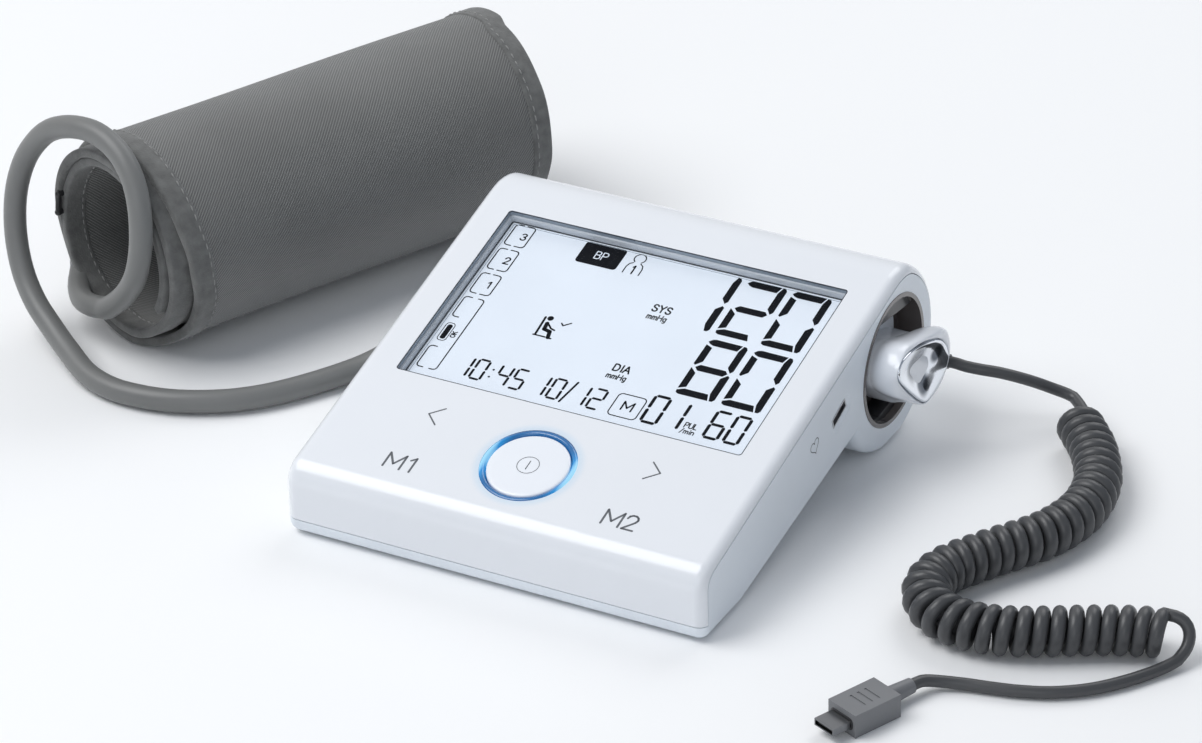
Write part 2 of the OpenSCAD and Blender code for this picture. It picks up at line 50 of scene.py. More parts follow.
def mesh_piece(name, verts, faces, mat, smooth=True, scale=MM):
    me = bpy.data.meshes.new(name)
    me.from_pydata([tuple(c * scale for c in v) for v in verts], [], faces)
    me.update()
    me.materials.append(mat)
    if smooth:
        me.polygons.foreach_set("use_smooth", [True] * len(me.polygons))
    return link(bpy.data.objects.new(name, me))


def outward(obj):
    bm = bmesh.new()
    bm.from_mesh(obj.data)
    bmesh.ops.remove_doubles(bm, verts=bm.verts, dist=1e-6)
    bmesh.ops.recalc_face_normals(bm, faces=bm.faces)
    bm.to_mesh(obj.data)
    bm.free()
    return obj


def loft(name, rings, mat, caps=True):
    n = len(rings[0])
    verts = [p for ring in rings for p in ring]
    faces = []
    for i in range(len(rings) - 1):
        for j in range(n):
            k = (j + 1) % n
            faces.append((i * n + j, i * n + k, (i + 1) * n + k, (i + 1) * n + j))
    if caps:
        faces.append(tuple(range(n)))
        faces.append(tuple(range((len(rings) - 1) * n, len(rings) * n)))
    return outward(mesh_piece(name, verts, faces, mat))


def boolean(obj, other, how="DIFFERENCE"):
    mod = obj.modifiers.new("cut", "BOOLEAN")
    mod.operation, mod.solver, mod.object = how, "EXACT", other
    dg = bpy.context.evaluated_depsgraph_get()
    me = bpy.data.meshes.new_from_object(obj.evaluated_get(dg))
    obj.modifiers.remove(mod)
    obj.data = me
    return obj


def drop(*objs):
    for o in objs:
        bpy.data.objects.remove(o, do_unlink=True)


def finish_edges(obj, angle=28, weighted=True):
    obj.data.polygons.foreach_set("use_smooth", [True] * len(obj.data.polygons))
    obj.data.set_sharp_from_angle(angle=radians(angle))
    if weighted:
        mod = obj.modifiers.new("even_normals", "WEIGHTED_NORMAL")
        mod.keep_sharp = True
    return obj


def spread(points, step):
    """Catmull-Rom through the points, resampled about every step mm."""
    pts = [Vector(p) for p in points]
    ext = [pts[0] * 2 - pts[1]] + pts + [pts[-1] * 2 - pts[-2]]
    out = []
    for i in range(1, len(ext) - 2):
        a, b, c, d = ext[i - 1:i + 3]
        n = max(2, int((c - b).length / step + 0.5))
        for k in range(n):
            t = k / n
            out.append(0.5 * ((2 * b) + (c - a) * t + (2 * a - 5 * b + 4 * c - d) * t * t
                              + (3 * b - a - 3 * c + d) * t ** 3))
    out.append(pts[-1])
    return out


def cord_curve(name, pts, radii, diameter, mat):
    cu = bpy.data.curves.new(name, "CURVE")
    cu.dimensions = "3D"
    cu.bevel_depth = diameter / 2 * MM
    cu.bevel_resolution = 5
    cu.use_fill_caps = True
    sp = cu.splines.new("POLY")
    sp.points.add(len(pts) - 1)
    for p, v, r in zip(sp.points, pts, radii):
        p.co = (v.x * MM, v.y * MM, v.z * MM, 1)
        p.radius = r
    sp.use_smooth = True
    cu.materials.append(mat)
    return link(bpy.data.objects.new(name, cu))


# ---- materials: procedural, in object coordinates ----
def material(name, base, rough=0.4, metal=0.0, spec=0.5, coat=0.0, sheen=0.0, var=0.03,
             patch=35.0, grain=1400.0, bump=0.08, depth=0.00006, rough_var=0.05,
             alpha=1.0, glow=None, glow_power=0.0):
    m = bpy.data.materials.new(name)
    m.use_nodes = True
    m.diffuse_color = (*base, 1)
    nodes, links = m.node_tree.nodes, m.node_tree.links
    b = nodes["Principled BSDF"]
    tc = nodes.new("ShaderNodeTexCoord")
    big = nodes.new("ShaderNodeTexNoise")
    big.inputs["Scale"].default_value = patch
    big.inputs["Detail"].default_value = 4
    ramp = nodes.new("ShaderNodeValToRGB")
    ramp.color_ramp.elements[0].position, ramp.color_ramp.elements[1].position = 0.3, 0.7
    ramp.color_ramp.elements[0].color = (*[min(1, c * (1 - var)) for c in base], 1)
    ramp.color_ramp.elements[1].color = (*[min(1, c * (1 + var)) for c in base], 1)
    fine = nodes.new("ShaderNodeTexNoise")
    fine.inputs["Scale"].default_value = grain
    fine.inputs["Detail"].default_value = 3
    rmap = nodes.new("ShaderNodeMapRange")
    rmap.inputs["To Min"].default_value = max(0.02, rough - rough_var)
    rmap.inputs["To Max"].default_value = min(1.0, rough + rough_var)
    bp = nodes.new("ShaderNodeBump")
    bp.inputs["Strength"].default_value = bump
    bp.inputs["Distance"].default_value = depth
    links.new(tc.outputs["Object"], big.inputs["Vector"])
    links.new(tc.outputs["Object"], fine.inputs["Vector"])
    links.new(big.outputs["Fac"], ramp.inputs["Fac"])
    links.new(ramp.outputs["Color"], b.inputs["Base Color"])
    links.new(big.outputs["Fac"], rmap.inputs["Value"])
    links.new(rmap.outputs["Result"], b.inputs["Roughness"])
    links.new(fine.outputs["Fac"], bp.inputs["Height"])
    links.new(bp.outputs["Normal"], b.inputs["Normal"])
    b.inputs["Metallic"].default_value = metal
    b.inputs["Specular IOR Level"].default_value = spec
    b.inputs["Coat Weight"].default_value = coat
    b.inputs["Coat Roughness"].default_value = 0.08
    b.inputs["Sheen Weight"].default_value = sheen
    b.inputs["Sheen Roughness"].default_value = 0.5
    b.inputs["Alpha"].default_value = alpha
    if glow:
        b.inputs["Emission Color"].default_value = (*glow, 1)
        b.inputs["Emission Strength"].default_value = glow_power
    return m


M = {}
M["white_shell"] = material("white_shell", (0.80, 0.825, 0.865), 0.26, coat=0.35, var=0.006, bump=0.03, rough_var=0.008)
M["pale_shell"] = material("pale_shell", (0.76, 0.81, 0.865), 0.34, coat=0.15, var=0.02, bump=0.05)
M["frame_blue"] = material("frame_blue", (0.26, 0.31, 0.37), 0.3, coat=0.3)
M["clear_window"] = material("clear_window", (0.05, 0.06, 0.07), 0.06, alpha=0.014, bump=0.0)
M["lcd_glass"] = material("lcd_glass", (0.72, 0.78, 0.86), 0.35, glow=(0.80, 0.89, 1.0), glow_power=0.12, var=0.02,
                          bump=0.02)
M["light_guide"] = material("light_guide", (0.85, 0.9, 0.95), 0.3)
M["holder_plastic"] = material("holder_plastic", (0.75, 0.75, 0.74), 0.45)
M["circuit_board"] = material("circuit_board", (0.02, 0.18, 0.07), 0.4, var=0.25, patch=160)
M["chip_plastic"] = material("chip_plastic", (0.02, 0.02, 0.022), 0.5)
M["dock_plastic"] = material("dock_plastic", (0.115, 0.10, 0.095), 0.22, coat=0.4, var=0.08)
M["black_plastic"] = material("black_plastic", (0.018, 0.018, 0.02), 0.35, coat=0.2)
M["gold_contact"] = material("gold_contact", (0.9, 0.62, 0.22), 0.25, metal=1.0)
M["steel"] = material("steel", (0.55, 0.56, 0.58), 0.32, metal=1.0, var=0.06)
M["chrome"] = material("chrome", (0.82, 0.85, 0.9), 0.07, metal=1.0, var=0.02, bump=0.01, rough_var=0.02)
M["hose_rubber"] = material("hose_rubber", (0.168, 0.171, 0.168), 0.42, var=0.05, bump=0.12, sheen=0.1)
M["cord_rubber"] = material("cord_rubber", (0.062, 0.064, 0.068), 0.38, var=0.08, bump=0.12)
M["plug_plastic"] = material("plug_plastic", (0.17, 0.175, 0.185), 0.45, var=0.05, bump=0.15, depth=0.00008)
M["binding_tape"] = material("binding_tape", (0.125, 0.127, 0.124), 0.8, sheen=0.3, var=0.22, patch=260, grain=1500, bump=0.8,
                             depth=0.0002)
M["lining_fabric"] = material("lining_fabric", (0.05, 0.052, 0.055), 0.85, sheen=0.25, var=0.12, bump=0.4)
M["hook_tape"] = material("hook_tape", (0.012, 0.012, 0.013), 0.9, bump=0.6, depth=0.0003)
M["bladder_rubber"] = material("bladder_rubber", (0.12, 0.12, 0.12), 0.6)
M["tube_rubber"] = material("tube_rubber", (0.7, 0.7, 0.66), 0.4)
M["cell_wrap"] = material("cell_wrap", (0.05, 0.06, 0.10), 0.25, coat=0.5)
M["foot_rubber"] = material("foot_rubber", (0.09, 0.09, 0.095), 0.8, bump=0.3)
M["shell_steel"] = material("shell_steel", (0.20, 0.205, 0.215), 0.3, metal=1.0, var=0.06)
M["segments"] = material("segments", (0.006, 0.007, 0.010), 0.75, spec=0.08)
M["legend_ink"] = material("legend_ink", (0.11, 0.12, 0.135), 0.5)
M["thread"] = material("thread", (0.24, 0.24, 0.235), 0.7, sheen=0.2)


def weave_material(name, base, pitch=0.0013):
    m = material(name, base, 0.82, sheen=0.35, var=0.10, patch=22.0, bump=0.0)
    nodes, links = m.node_tree.nodes, m.node_tree.links
    b = nodes["Principled BSDF"]
    uv = nodes.new("ShaderNodeUVMap")
    sep = nodes.new("ShaderNodeSeparateXYZ")
    links.new(uv.outputs["UV"], sep.inputs["Vector"])

    def math_node(op, a, c):
        n = nodes.new("ShaderNodeMath")
        n.operation = op
        for i, v in enumerate((a, c)):
            if v is None:
                continue
            if isinstance(v, float):
                n.inputs[i].default_value = v
            else:
                links.new(v, n.inputs[i])
        return n.outputs[0]

    k = 2 * pi / pitch
    u, v = sep.outputs[0], sep.outputs[1]
    diag = math_node("SINE", math_node("MULTIPLY", math_node("ADD", u, v), k), None)
    across = math_node("SINE", math_node("MULTIPLY", math_node("SUBTRACT", u, v), k * 2.0), None)
    h = math_node("ADD", diag, math_node("MULTIPLY", across, 0.45))
    fac = math_node("ADD", math_node("MULTIPLY", h, 0.33), 0.5)
    old = b.inputs["Base Color"].links[0].from_socket
    mix = nodes.new("ShaderNodeMix")
    mix.data_type, mix.blend_type = "RGBA", "MULTIPLY"
    mix.inputs[0].default_value = 1.0
    shade = nodes.new("ShaderNodeValToRGB")
    shade.color_ramp.elements[0].color = (0.36, 0.36, 0.37, 1)
    shade.color_ramp.elements[1].color = (1.5, 1.5, 1.5, 1)
    links.new(fac, shade.inputs["Fac"])
    links.new(old, mix.inputs[6])
    links.new(shade.outputs["Color"], mix.inputs[7])
    links.new(mix.outputs[2], b.inputs["Base Color"])
    bp = [n for n in nodes if n.bl_idname == "ShaderNodeBump"][0]
    bp.inputs["Strength"].default_value = 0.7
    bp.inputs["Distance"].default_value = 0.0003
    links.new(fac, bp.inputs["Height"])
    return m


M["cuff_fabric"] = weave_material("cuff_fabric", (0.158, 0.160, 0.156))

TILT = radians(14.72)


def pan(x, v, w):
    return (x, v * cos(TILT) - w * sin(TILT), 29.15 + v * sin(TILT) + w * cos(TILT))


# painted light: a pale blue tint painted into the panel's colour round the button, standing for the ring's light on the
# panel
def paint_ring_glow(m, centre, radius, reach, tint):
    nodes, links = m.node_tree.nodes, m.node_tree.links
    b = nodes["Principled BSDF"]
    tc = [n for n in nodes if n.bl_idname == "ShaderNodeTexCoord"][0]
    dist = nodes.new("ShaderNodeVectorMath")
    dist.operation = "DISTANCE"
    dist.inputs[1].default_value = centre
    rng = nodes.new("ShaderNodeMapRange")
    rng.interpolation_type = "SMOOTHERSTEP"
    rng.inputs["From Min"].default_value = radius
    rng.inputs["From Max"].default_value = reach
    rng.inputs["To Min"].default_value = 0.45
    rng.inputs["To Max"].default_value = 0.0
    mix = nodes.new("ShaderNodeMix")
    mix.data_type = "RGBA"
    old = b.inputs["Base Color"].links[0].from_socket
    links.new(tc.outputs["Object"], dist.inputs[0])
    links.new(dist.outputs["Value"], rng.inputs["Value"])
    links.new(rng.outputs["Result"], mix.inputs[0])
    links.new(old, mix.inputs[6])
    mix.inputs[7].default_value = (*tint, 1)
    links.new(mix.outputs[2], b.inputs["Base Color"])


BUTTON_V = 14.3
ring_centre = tuple(c * MM for c in pan(0, BUTTON_V, 0))
# paints the ring's light as a pale blue tint into the white shell's colour round the button
paint_ring_glow(M["white_shell"], ring_centre, 0.0165, 0.0205, (0.50, 0.68, 0.84))

M["ring_light"] = material("ring_light", (0.01, 0.10, 0.26), 0.2, coat=0.5)


def light_up(m):
    nodes, links = m.node_tree.nodes, m.node_tree.links
    b = nodes["Principled BSDF"]
    tc = [n for n in nodes if n.bl_idname == "ShaderNodeTexCoord"][0]
    sep = nodes.new("ShaderNodeSeparateXYZ")
    ab = nodes.new("ShaderNodeMath")
    ab.operation = "ABSOLUTE"
    rng = nodes.new("ShaderNodeMapRange")
    rng.interpolation_type = "SMOOTHSTEP"
    rng.inputs["From Min"].default_value = 0.0105
    rng.inputs["From Max"].default_value = 0.0160
    ramp = nodes.new("ShaderNodeValToRGB")
    ramp.color_ramp.elements[0].color = (0.001, 0.055, 0.17, 1)
    ramp.color_ramp.elements[1].color = (0.45, 0.85, 1.0, 1)
    mid = ramp.color_ramp.elements.new(0.7)
    mid.color = (0.01, 0.25, 0.58, 1)
    links.new(tc.outputs["Object"], sep.inputs["Vector"])
    links.new(sep.outputs[0], ab.inputs[0])
    links.new(ab.outputs[0], rng.inputs["Value"])
    links.new(rng.outputs["Result"], ramp.inputs["Fac"])
    links.new(ramp.outputs["Color"], b.inputs["Emission Color"])
    b.inputs["Emission Strength"].default_value = 0.75


light_up(M["ring_light"])

# ---- camera ----
az, el, roll = radians(28.887), radians(30.113), -0.0250
back = Vector((sin(az) * cos(el), -cos(az) * cos(el), sin(el)))
r = Vector((cos(az), sin(az), 0))
u = back.cross(r)
cr, sr = cos(roll), sin(roll)
right, up = r * cr + u * sr, u * cr - r * sr
cam_data = bpy.data.cameras.new("camera")
cam_data.lens, cam_data.sensor_width = 152.28, 36.0
cam_data.clip_start, cam_data.clip_end = 0.05, 20.0
camera = link(bpy.data.objects.new("camera", cam_data))
camera.matrix_world = Matrix.Translation(Vector((716.8, -1233.9, 902.4)) * MM) @ Matrix(
    (right, up, back)).transposed().to_4x4()
scene.camera = camera

# ---- air hose ----
hose_route = [
    (-90, 110, 21.6), (-91.7, 104.9, 18.9), (-94.2, 101, 15.8), (-97.6, 96.8, 12.2), (-102, 91.8, 8.5),
    (-107, 86.3, 6), (-112.3, 79.5, 4.7), (-118.3, 70.4, 4.3), (-124.4, 61.4, 4.3), (-131.2, 53.4, 4.3),
    (-139, 46.8, 4.3), (-148, 41.6, 4.3), (-157.5, 37.8, 4.3), (-168.5, 35.8, 4.3), (-180.5, 36, 4.3),
    (-193, 39.8, 5), (-205, 46.6, 7.5), (-216, 52.9, 11.3), (-225.7, 58, 16.4), (-233.2, 62.8, 23),
    (-238.2, 67, 31.3), (-241, 70.7, 41), (-241, 73.2, 51.5), (-238, 74.5, 62), (-232.5, 74.3, 71),
    (-224, 72.8, 79.3), (-213, 70.5, 84.3), (-201, 68, 85.7), (-190, 64.5, 82.7), (-182, 60.5, 76.5),
    (-177.5, 57, 68), (-176, 54.8, 58), (-177, 54.5, 49), (-180, 55.5, 40), (-185, 58, 32),
    (-191, 60.5, 25), (-198.5, 63.5, 18.5), (-202.3, 65.3, 16.7), (-208, 67.2, 15.1), (-215.6, 72.1, 13.6),
    (-221.4, 79, 14.2), (-223.9, 84.3, 16.5),
]
hose_pts = spread(hose_route, 2.5)
hose = cord_curve("air_hose_run", hose_pts, [1.0] * len(hose_pts), 8.3, M["hose_rubber"])
hose.data.bevel_resolution = 8
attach(hose, "arm_cuff")
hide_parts("air_hose")

# ---- lead with its coil ----
upper = [(89.65, 151.5, 23.6), (92.6, 151.5, 23.6), (95.6, 151.7, 23.2), (100.7, 153.1, 22.5),
         (106.4, 155.5, 21.5), (112.2, 158.5, 19.6), (117.5, 162, 17), (122, 166, 13.7), (127, 168, 11.6),
         (131.2, 167.2, 10.7), (133.7, 164.3, 10.2)]
coil_axis = [(133, 160.5), (140, 152), (147, 143.5), (152.5, 134.5), (157, 125), (159.5, 114.5),
             (160, 103.5), (158, 93), (154.5, 84), (149.7, 76), (145, 69), (140.5, 61.5), (136.2, 54),
             (133.8, 46), (134.2, 38), (138, 31), (144, 26.2), (151, 24.2), (158.5, 24.2), (165.5, 25.7),
             (172, 28.2), (181, 32.8), (190, 37.8), (199, 42.3), (206.5, 45.4), (213.5, 47.6)]
lower = [(212.6, 50.5, 13.7), (217.2, 51.8, 13.7), (220.6, 51.8, 11.4), (222.0, 50.0, 8.2), (222.0, 47.0, 5.2),
         (220.3, 42.4, 3.1), (216, 35, 2.2), (209, 24.5, 2.2), (201, 15.8, 2.2), (191.5, 9.2, 2.2),
         (182, 5.3, 2.2), (173, 3, 2.2), (165, 1.2, 2.3), (158.5, -1.3, 2.8), (154.9, -3.6, 3.5),
         (152.6, -6.1, 4.1), (151, -9.8, 4.2)]
COIL_Z, COIL_R, TURNS = 8.5, 6.0, 40.92
axis = spread([(x, y, COIL_Z) for x, y in coil_axis], 1.0)
run = [0.0]
for a, b in zip(axis, axis[1:]):
    run.append(run[-1] + (b - a).length)
steps = int(TURNS * 20)
coil, i = [], 0
for n in range(steps + 1):
    t = n / steps
    s = 4.0 + (run[-1] - 4.6) * t
    while i < len(run) - 2 and run[i + 1] < s:
        i += 1
    f = (s - run[i]) / (run[i + 1] - run[i])
    c = axis[i].lerp(axis[i + 1], f)
    tan = (axis[min(i + 3, len(axis) - 1)] - axis[max(i - 3, 0)]).normalized()
    side = Vector((-tan.y, tan.x, 0))
    phi = radians(60) + 2 * pi * TURNS * t
    grow = min(1.0, 0.6 + 0.4 * (t * TURNS) / 0.5)
    coil.append(c + (Vector((0, 0, 1)) * cos(phi) + side * sin(phi)) * COIL_R * grow)
up_pts = spread(upper + [tuple(coil[0])], 2.0)[:-1]
low_pts = spread([tuple(coil[-1])] + lower[1:], 2.0)[1:]
cord_pts = up_pts + coil + low_pts
for _ in range(5):
    for join in (len(up_pts), len(up_pts) + len(coil) + 5):
        for k in range(join - 5, join + 6):
            cord_pts[k] = (cord_pts[k - 1] + cord_pts[k] * 2 + cord_pts[k + 1]) / 4
radii = [0.93] * len(up_pts) + [1.09] * len(coil) + [0.93] * len(low_pts)
lead = cord_curve("coiled_lead", cord_pts, radii, 4.4, M["cord_rubber"])
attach(lead, "electrode_stick")
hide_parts("cord_upper", "cord_coil", "cord_lower")

# ---- case ----
ROLL_Y, ROLL_Z, ROLL_R = 129.0, 33.2, 33.2
PLANE_D = 28.86


def case_outline(d):
    pts = []

    def arc(cy, cz, rr, a0, a1, n):
        for k in range(n + 1):
            a = radians(a0 + (a1 - a0) * k / n)
            pts.append((cy + rr * cos(a), cz + rr * sin(a)))

    arc(-9, 4.6, max(4 - d, 0.01), 270, 180, 6)
    arc(-4, 18.79, 9 - d, 180, 104.72, 12)
    rr = ROLL_R - d
    top = 104.72 - math.degrees(math.acos((PLANE_D - d) / rr))
    corner = Vector((ROLL_Y + rr * cos(radians(top)), ROLL_Z + rr * sin(radians(top))))
    a = corner - Vector((cos(TILT), sin(TILT))) * 7
    b = Vector((ROLL_Y + rr * cos(radians(top - 12)), ROLL_Z + rr * sin(radians(top - 12))))
    for k in range(9):
        t = k / 8
        pts.append(tuple(a * (1 - t) ** 2 + corner * 2 * t * (1 - t) + b * t * t))
    low = math.degrees(math.asin((32.6 - d) / rr))
    arc(ROLL_Y, ROLL_Z, rr, top - 15, -low, 44)
    meet = -78.69 - math.degrees(math.acos((9.354 - d) / rr))
    arc(ROLL_Y, ROLL_Z, rr, low - 180, meet, 14)
    pts.append((13.7 - 0.099 * d, 0.6 + d))
    return pts


def case_solid(name, base_d, fillet, half):
    rings = []
    for sgn in (-1, 1):
        part = []
        for k in range(7):
            t = radians(90 * k / 6)
            part.append((sgn * (half - fillet + fillet * sin(t)), base_d + fillet * (1 - cos(t))))
        rings += part[::-1] if sgn < 0 else part
    return loft(name, [[(x, y, z) for y, z in case_outline(d)] for x, d in rings], M["white_shell"])


def prism_yz(name, poly, x0, x1):
    return loft(name, [[(x0, y, z) for y, z in poly], [(x1, y, z) for y, z in poly]], M["white_shell"])


def panel_prism(name, poly, w0, w1):
    return loft(name, [[pan(x, v, w0) for x, v in poly], [pan(x, v, w1) for x, v in poly]], M["white_shell"])


def round_rect(cx, cy, w, h, rr, n=5):
    out = []
    for sx, sy, a0 in ((1, 1, 0), (-1, 1, 90), (-1, -1, 180), (1, -1, 270)):
        for k in range(n + 1):
            a = radians(a0 + 90 * k / n)
            out.append((cx + sx * (w / 2 - rr) + rr * cos(a), cy + sy * (h / 2 - rr) + rr * sin(a)))
    return out


def circle(cx, cy, rr, n=64):
    return [(cx + rr * cos(2 * pi * k / n), cy + rr * sin(2 * pi * k / n)) for k in range(n)]


def cylinder_x(name, x0, x1, y, z, rr, n=96):
    poly = circle(y, z, rr, n)
    return prism_yz(name, poly, x0, x1)


def top_zone(d, front, rear):
    line = [p for p in case_outline(d)[6:80] if not (p[0] < 0 and p[1] < front)]
    cut = []
    for p in line:
        if p[0] > ROLL_Y and p[1] < rear:
            break
        cut.append(p)
    return ([(-20, front), (-13 + d, front)] + cut
            + [(ROLL_Y + sqrt((ROLL_R - d) ** 2 - (rear - ROLL_Z) ** 2), rear), (175, rear), (175, 100), (-20, 100)])


shell = case_solid("top_case", 0.0, 4.0, 79.0)
inner = case_solid("inner_space", 2.4, 1.6, 76.6)
boolean(shell, inner)
lower_case = shell.copy()
lower_case.data = shell.data.copy()
lower_case.name = "bottom_case"
link(lower_case)
zone = prism_yz("zone_a", top_zone(2.8, 6.3, 40.0), -90, 90)
boolean(shell, zone, "INTERSECT")
zone_b = prism_yz("zone_b", top_zone(3.1, 6.0, 39.7), -90, 90)
boolean(lower_case, zone_b)
drop(inner, zone, zone_b)

cutter = panel_prism("c1", round_rect(0, 83.4, 131.2, 84.2, 1.2), -9, 4)
boolean(shell, cutter)
drop(cutter)
cutter = panel_prism("c2", circle(0, BUTTON_V, 16.65, 96), -9, 4)
boolean(shell, cutter)
drop(cutter)

cutter = cylinder_x("c3", 70, 84, ROLL_Y, ROLL_Z, 23.95)
boolean(lower_case, cutter)
boolean(shell, cutter)
drop(cutter)
cutter = cylinder_x("c4", -84, -70, 122, 28, 5.6)
boolean(lower_case, cutter)
drop(cutter)


def under(x, v, w):
    a = radians(11.31)
    return (x, 10.7 + v * cos(a) - w * sin(a), v * sin(a) + w * cos(a))


def under_prism(name, poly, w0, w1):
    return loft(name, [[under(x, v, w0) for x, v in poly], [under(x, v, w1) for x, v in poly]], M["pale_shell"])


tray_out = under_prism("battery_tray", round_rect(0, 27.5, 110.2, 37.2, 1.5), 1.2, 19.8)
tray_in = under_prism("c5", round_rect(0, 27.5, 107, 34, 1.0), -3, 18.4)
boolean(tray_out, tray_in)
boolean(lower_case, tray_in)
drop(tray_in)
tray = tray_out
tray.data.materials.clear()
tray.data.materials.append(M["pale_shell"])
finish_edges(tray)
for x in (-66, 66):
    for v in (8, 84):
        c = under_prism("c6", circle(x, v, 3.0, 32), -2, 1.9)
        boolean(lower_case, c)
        drop(c)


def socket(y, z, x):
    a = radians(21.4)
    return (79 + x, 87.7 + y * cos(a) - z * sin(a), 33.8 + y * sin(a) + z * cos(a))


slot_a = [(y, z) for y, z in round_rect(0, 0, 10.4, 3.8, 1.6)]
slot_b = [(y, z) for y, z in round_rect(0, 0, 14.4, 7.6, 2.6)]
c = loft("c7", [[socket(y, z, 2) for y, z in slot_a], [socket(y, z, -5) for y, z in slot_a]], M["pale_shell"])
boolean(lower_case, c)
drop(c)
c = loft("c8", [[socket(y * 1.12, z * 1.15, 1) for y, z in slot_b], [socket(y, z, -0.1) for y, z in slot_b],
                [socket(y * 0.78, z * 0.6, -0.75) for y, z in slot_b]], M["pale_shell"])
boolean(lower_case, c)
drop(c)

for obj, m in ((shell, "white_shell"), (lower_case, "pale_shell")):
    obj.data.materials.clear()
    obj.data.materials.append(M[m])
    finish_edges(obj, 24)
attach(shell, "monitor")
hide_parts("top_shell")
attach(lower_case, "monitor")
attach(tray, "monitor")
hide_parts("bottom_shell")


# ---- button and its lit ring ----
def lathe(name, prof, mat, n=128, v0=BUTTON_V):
    rings = [[pan(rr * cos(2 * pi * k / n), v0 + rr * sin(2 * pi * k / n), w) for k in range(n)] for rr, w in prof]
    return loft(name, rings, mat)


button = lathe("button_cap", [(2.0, -2.6), (14.1, -2.6), (14.3, -2.4), (14.3, -0.8), (14.2, -0.45), (13.9, -0.2),
                              (13.4, -0.06), (12.6, 0.0), (10, 0.06), (6, 0.1), (2.0, 0.12)],
               M["white_shell"].copy())
finish_edges(button, 40)
ring = lathe("lit_ring", [(14.75, -2.6), (14.75, -0.5), (14.9, -0.2), (15.25, 0.02), (15.7, 0.1), (16.15, 0.02),
                          (16.45, -0.2), (16.6, -0.5), (16.6, -2.6)], M["ring_light"])
button_white = material("button_white", (0.84, 0.87, 0.92), 0.3, coat=0.2, var=0.012, bump=0.04)
button.data.materials.clear()
button.data.materials.append(button_white)
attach(button, "start_button")
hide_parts("start_button")
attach(ring, "monitor")
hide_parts("light_ring")


# ---- flat marks: display segments and printed legends ----
class Marks:
    def __init__(self, place):
        self.place, self.verts, self.faces = place, [], []

    def poly(self, pts):
        base = len(self.verts)
        self.verts += [self.place(*p) for p in pts]
        self.faces.append(tuple(range(base, base + len(pts))))

    def line(self, pts, w, closed=False):
        pts = [Vector(p) for p in pts]
        pairs = list(zip(pts, pts[1:])) + ([(pts[-1], pts[0])] if closed else [])
        for a, b in pairs:
            if (b - a).length < 1e-6:
                continue
            d = (b - a).normalized() * w / 2
            nrm = Vector((-d.y, d.x))
            outline = []
            for c, sgn in ((b, 1), (a, -1)):
                for k in range(5):
                    t = radians(-90 + 45 * k)
                    outline.append(tuple(c + (d * cos(t) + nrm * sin(t)) * sgn))
            self.poly(outline)

    def piece(self, name, mat):
        obj = mesh_piece(name, self.verts, self.faces, mat, smooth=False)
        bm = bmesh.new()
        bm.from_mesh(obj.data)
        bm.normal_update()
        flip = [f for f in bm.faces if f.normal.z < 0]
        bmesh.ops.reverse_faces(bm, faces=flip)
        bm.to_mesh(obj.data)
        bm.free()
        return obj


GLYPH = {
    "M": [[(0, 0), (0, 1), (.43, .28), (.86, 1), (.86, 0)]],
    "1": [[(.08, .78), (.34, 1), (.34, 0)]],
    "2": [[(.02, .74), (.08, .9), (.22, 1), (.4, 1), (.55, .9), (.6, .74), (.52, .56), (0, 0), (.62, 0)]],
    "3": [[(.03, .84), (.15, .97), (.3, 1), (.48, .94), (.56, .77), (.46, .58), (.28, .53), (.5, .46), (.59, .26),
           (.48, .06), (.28, 0), (.1, .04), (0, .18)]],
    "S": [[(.6, .82), (.5, .95), (.31, 1), (.12, .95), (.03, .78), (.1, .6), (.31, .52), (.54, .43), (.62, .25),
           (.53, .06), (.31, 0), (.1, .05), (0, .2)]],
    "Y": [[(0, 1), (.35, .48), (.7, 1)], [(.35, .48), (.35, 0)]],
    "D": [[(0, 0), (0, 1), (.34, 1), (.56, .88), (.68, .5), (.56, .12), (.34, 0), (0, 0)]],
    "I": [[(.1, 0), (.1, 1)]],
    "A": [[(0, 0), (.37, 1), (.74, 0)], [(.14, .36), (.6, .36)]],
    "B": [[(0, 0), (0, 1), (.36, 1), (.55, .9), (.55, .64), (.36, .53), (0, .53)],
          [(.36, .53), (.6, .42), (.6, .12), (.4, 0), (0, 0)]],
    "P": [[(0, 0), (0, 1), (.4, 1), (.6, .88), (.6, .6), (.4, .48), (0, .48)]],
    "K": [[(0, 0), (0, 1)], [(.6, 1), (.02, .42)], [(.2, .6), (.64, 0)]],
    "O": [[(.38 + .38 * cos(2 * pi * k / 16), .5 + .5 * sin(2 * pi * k / 16)) for k in range(17)]],
    "H": [[(0, 0), (0, 1)], [(.66, 0), (.66, 1)], [(0, .52), (.66, .52)]],
    "U": [[(0, 1), (0, .25), (.12, .05), (.33, 0), (.54, .05), (.66, .25), (.66, 1)]],
    "L": [[(0, 1), (0, 0), (.52, 0)]],
    "m": [[(0, 0), (0, .66)], [(0, .5), (.14, .66), (.3, .6), (.34, .45), (.34, 0)],
          [(.34, .45), (.5, .66), (.64, .6), (.7, .45), (.7, 0)]],
    "n": [[(0, 0), (0, .66)], [(0, .48), (.16, .66), (.36, .62), (.44, .45), (.44, 0)]],
    "i": [[(.05, 0), (.05, .66)], [(.05, .9), (.05, .95)]],
    "g": [[(.46, .66), (.46, -.1), (.36, -.27), (.12, -.25)],
          [(.46, .5), (.3, .67), (.1, .6), (0, .36), (.1, .08), (.3, 0), (.46, .14)]],
    "/": [[(0, -.08), (.4, 1.04)]],
}


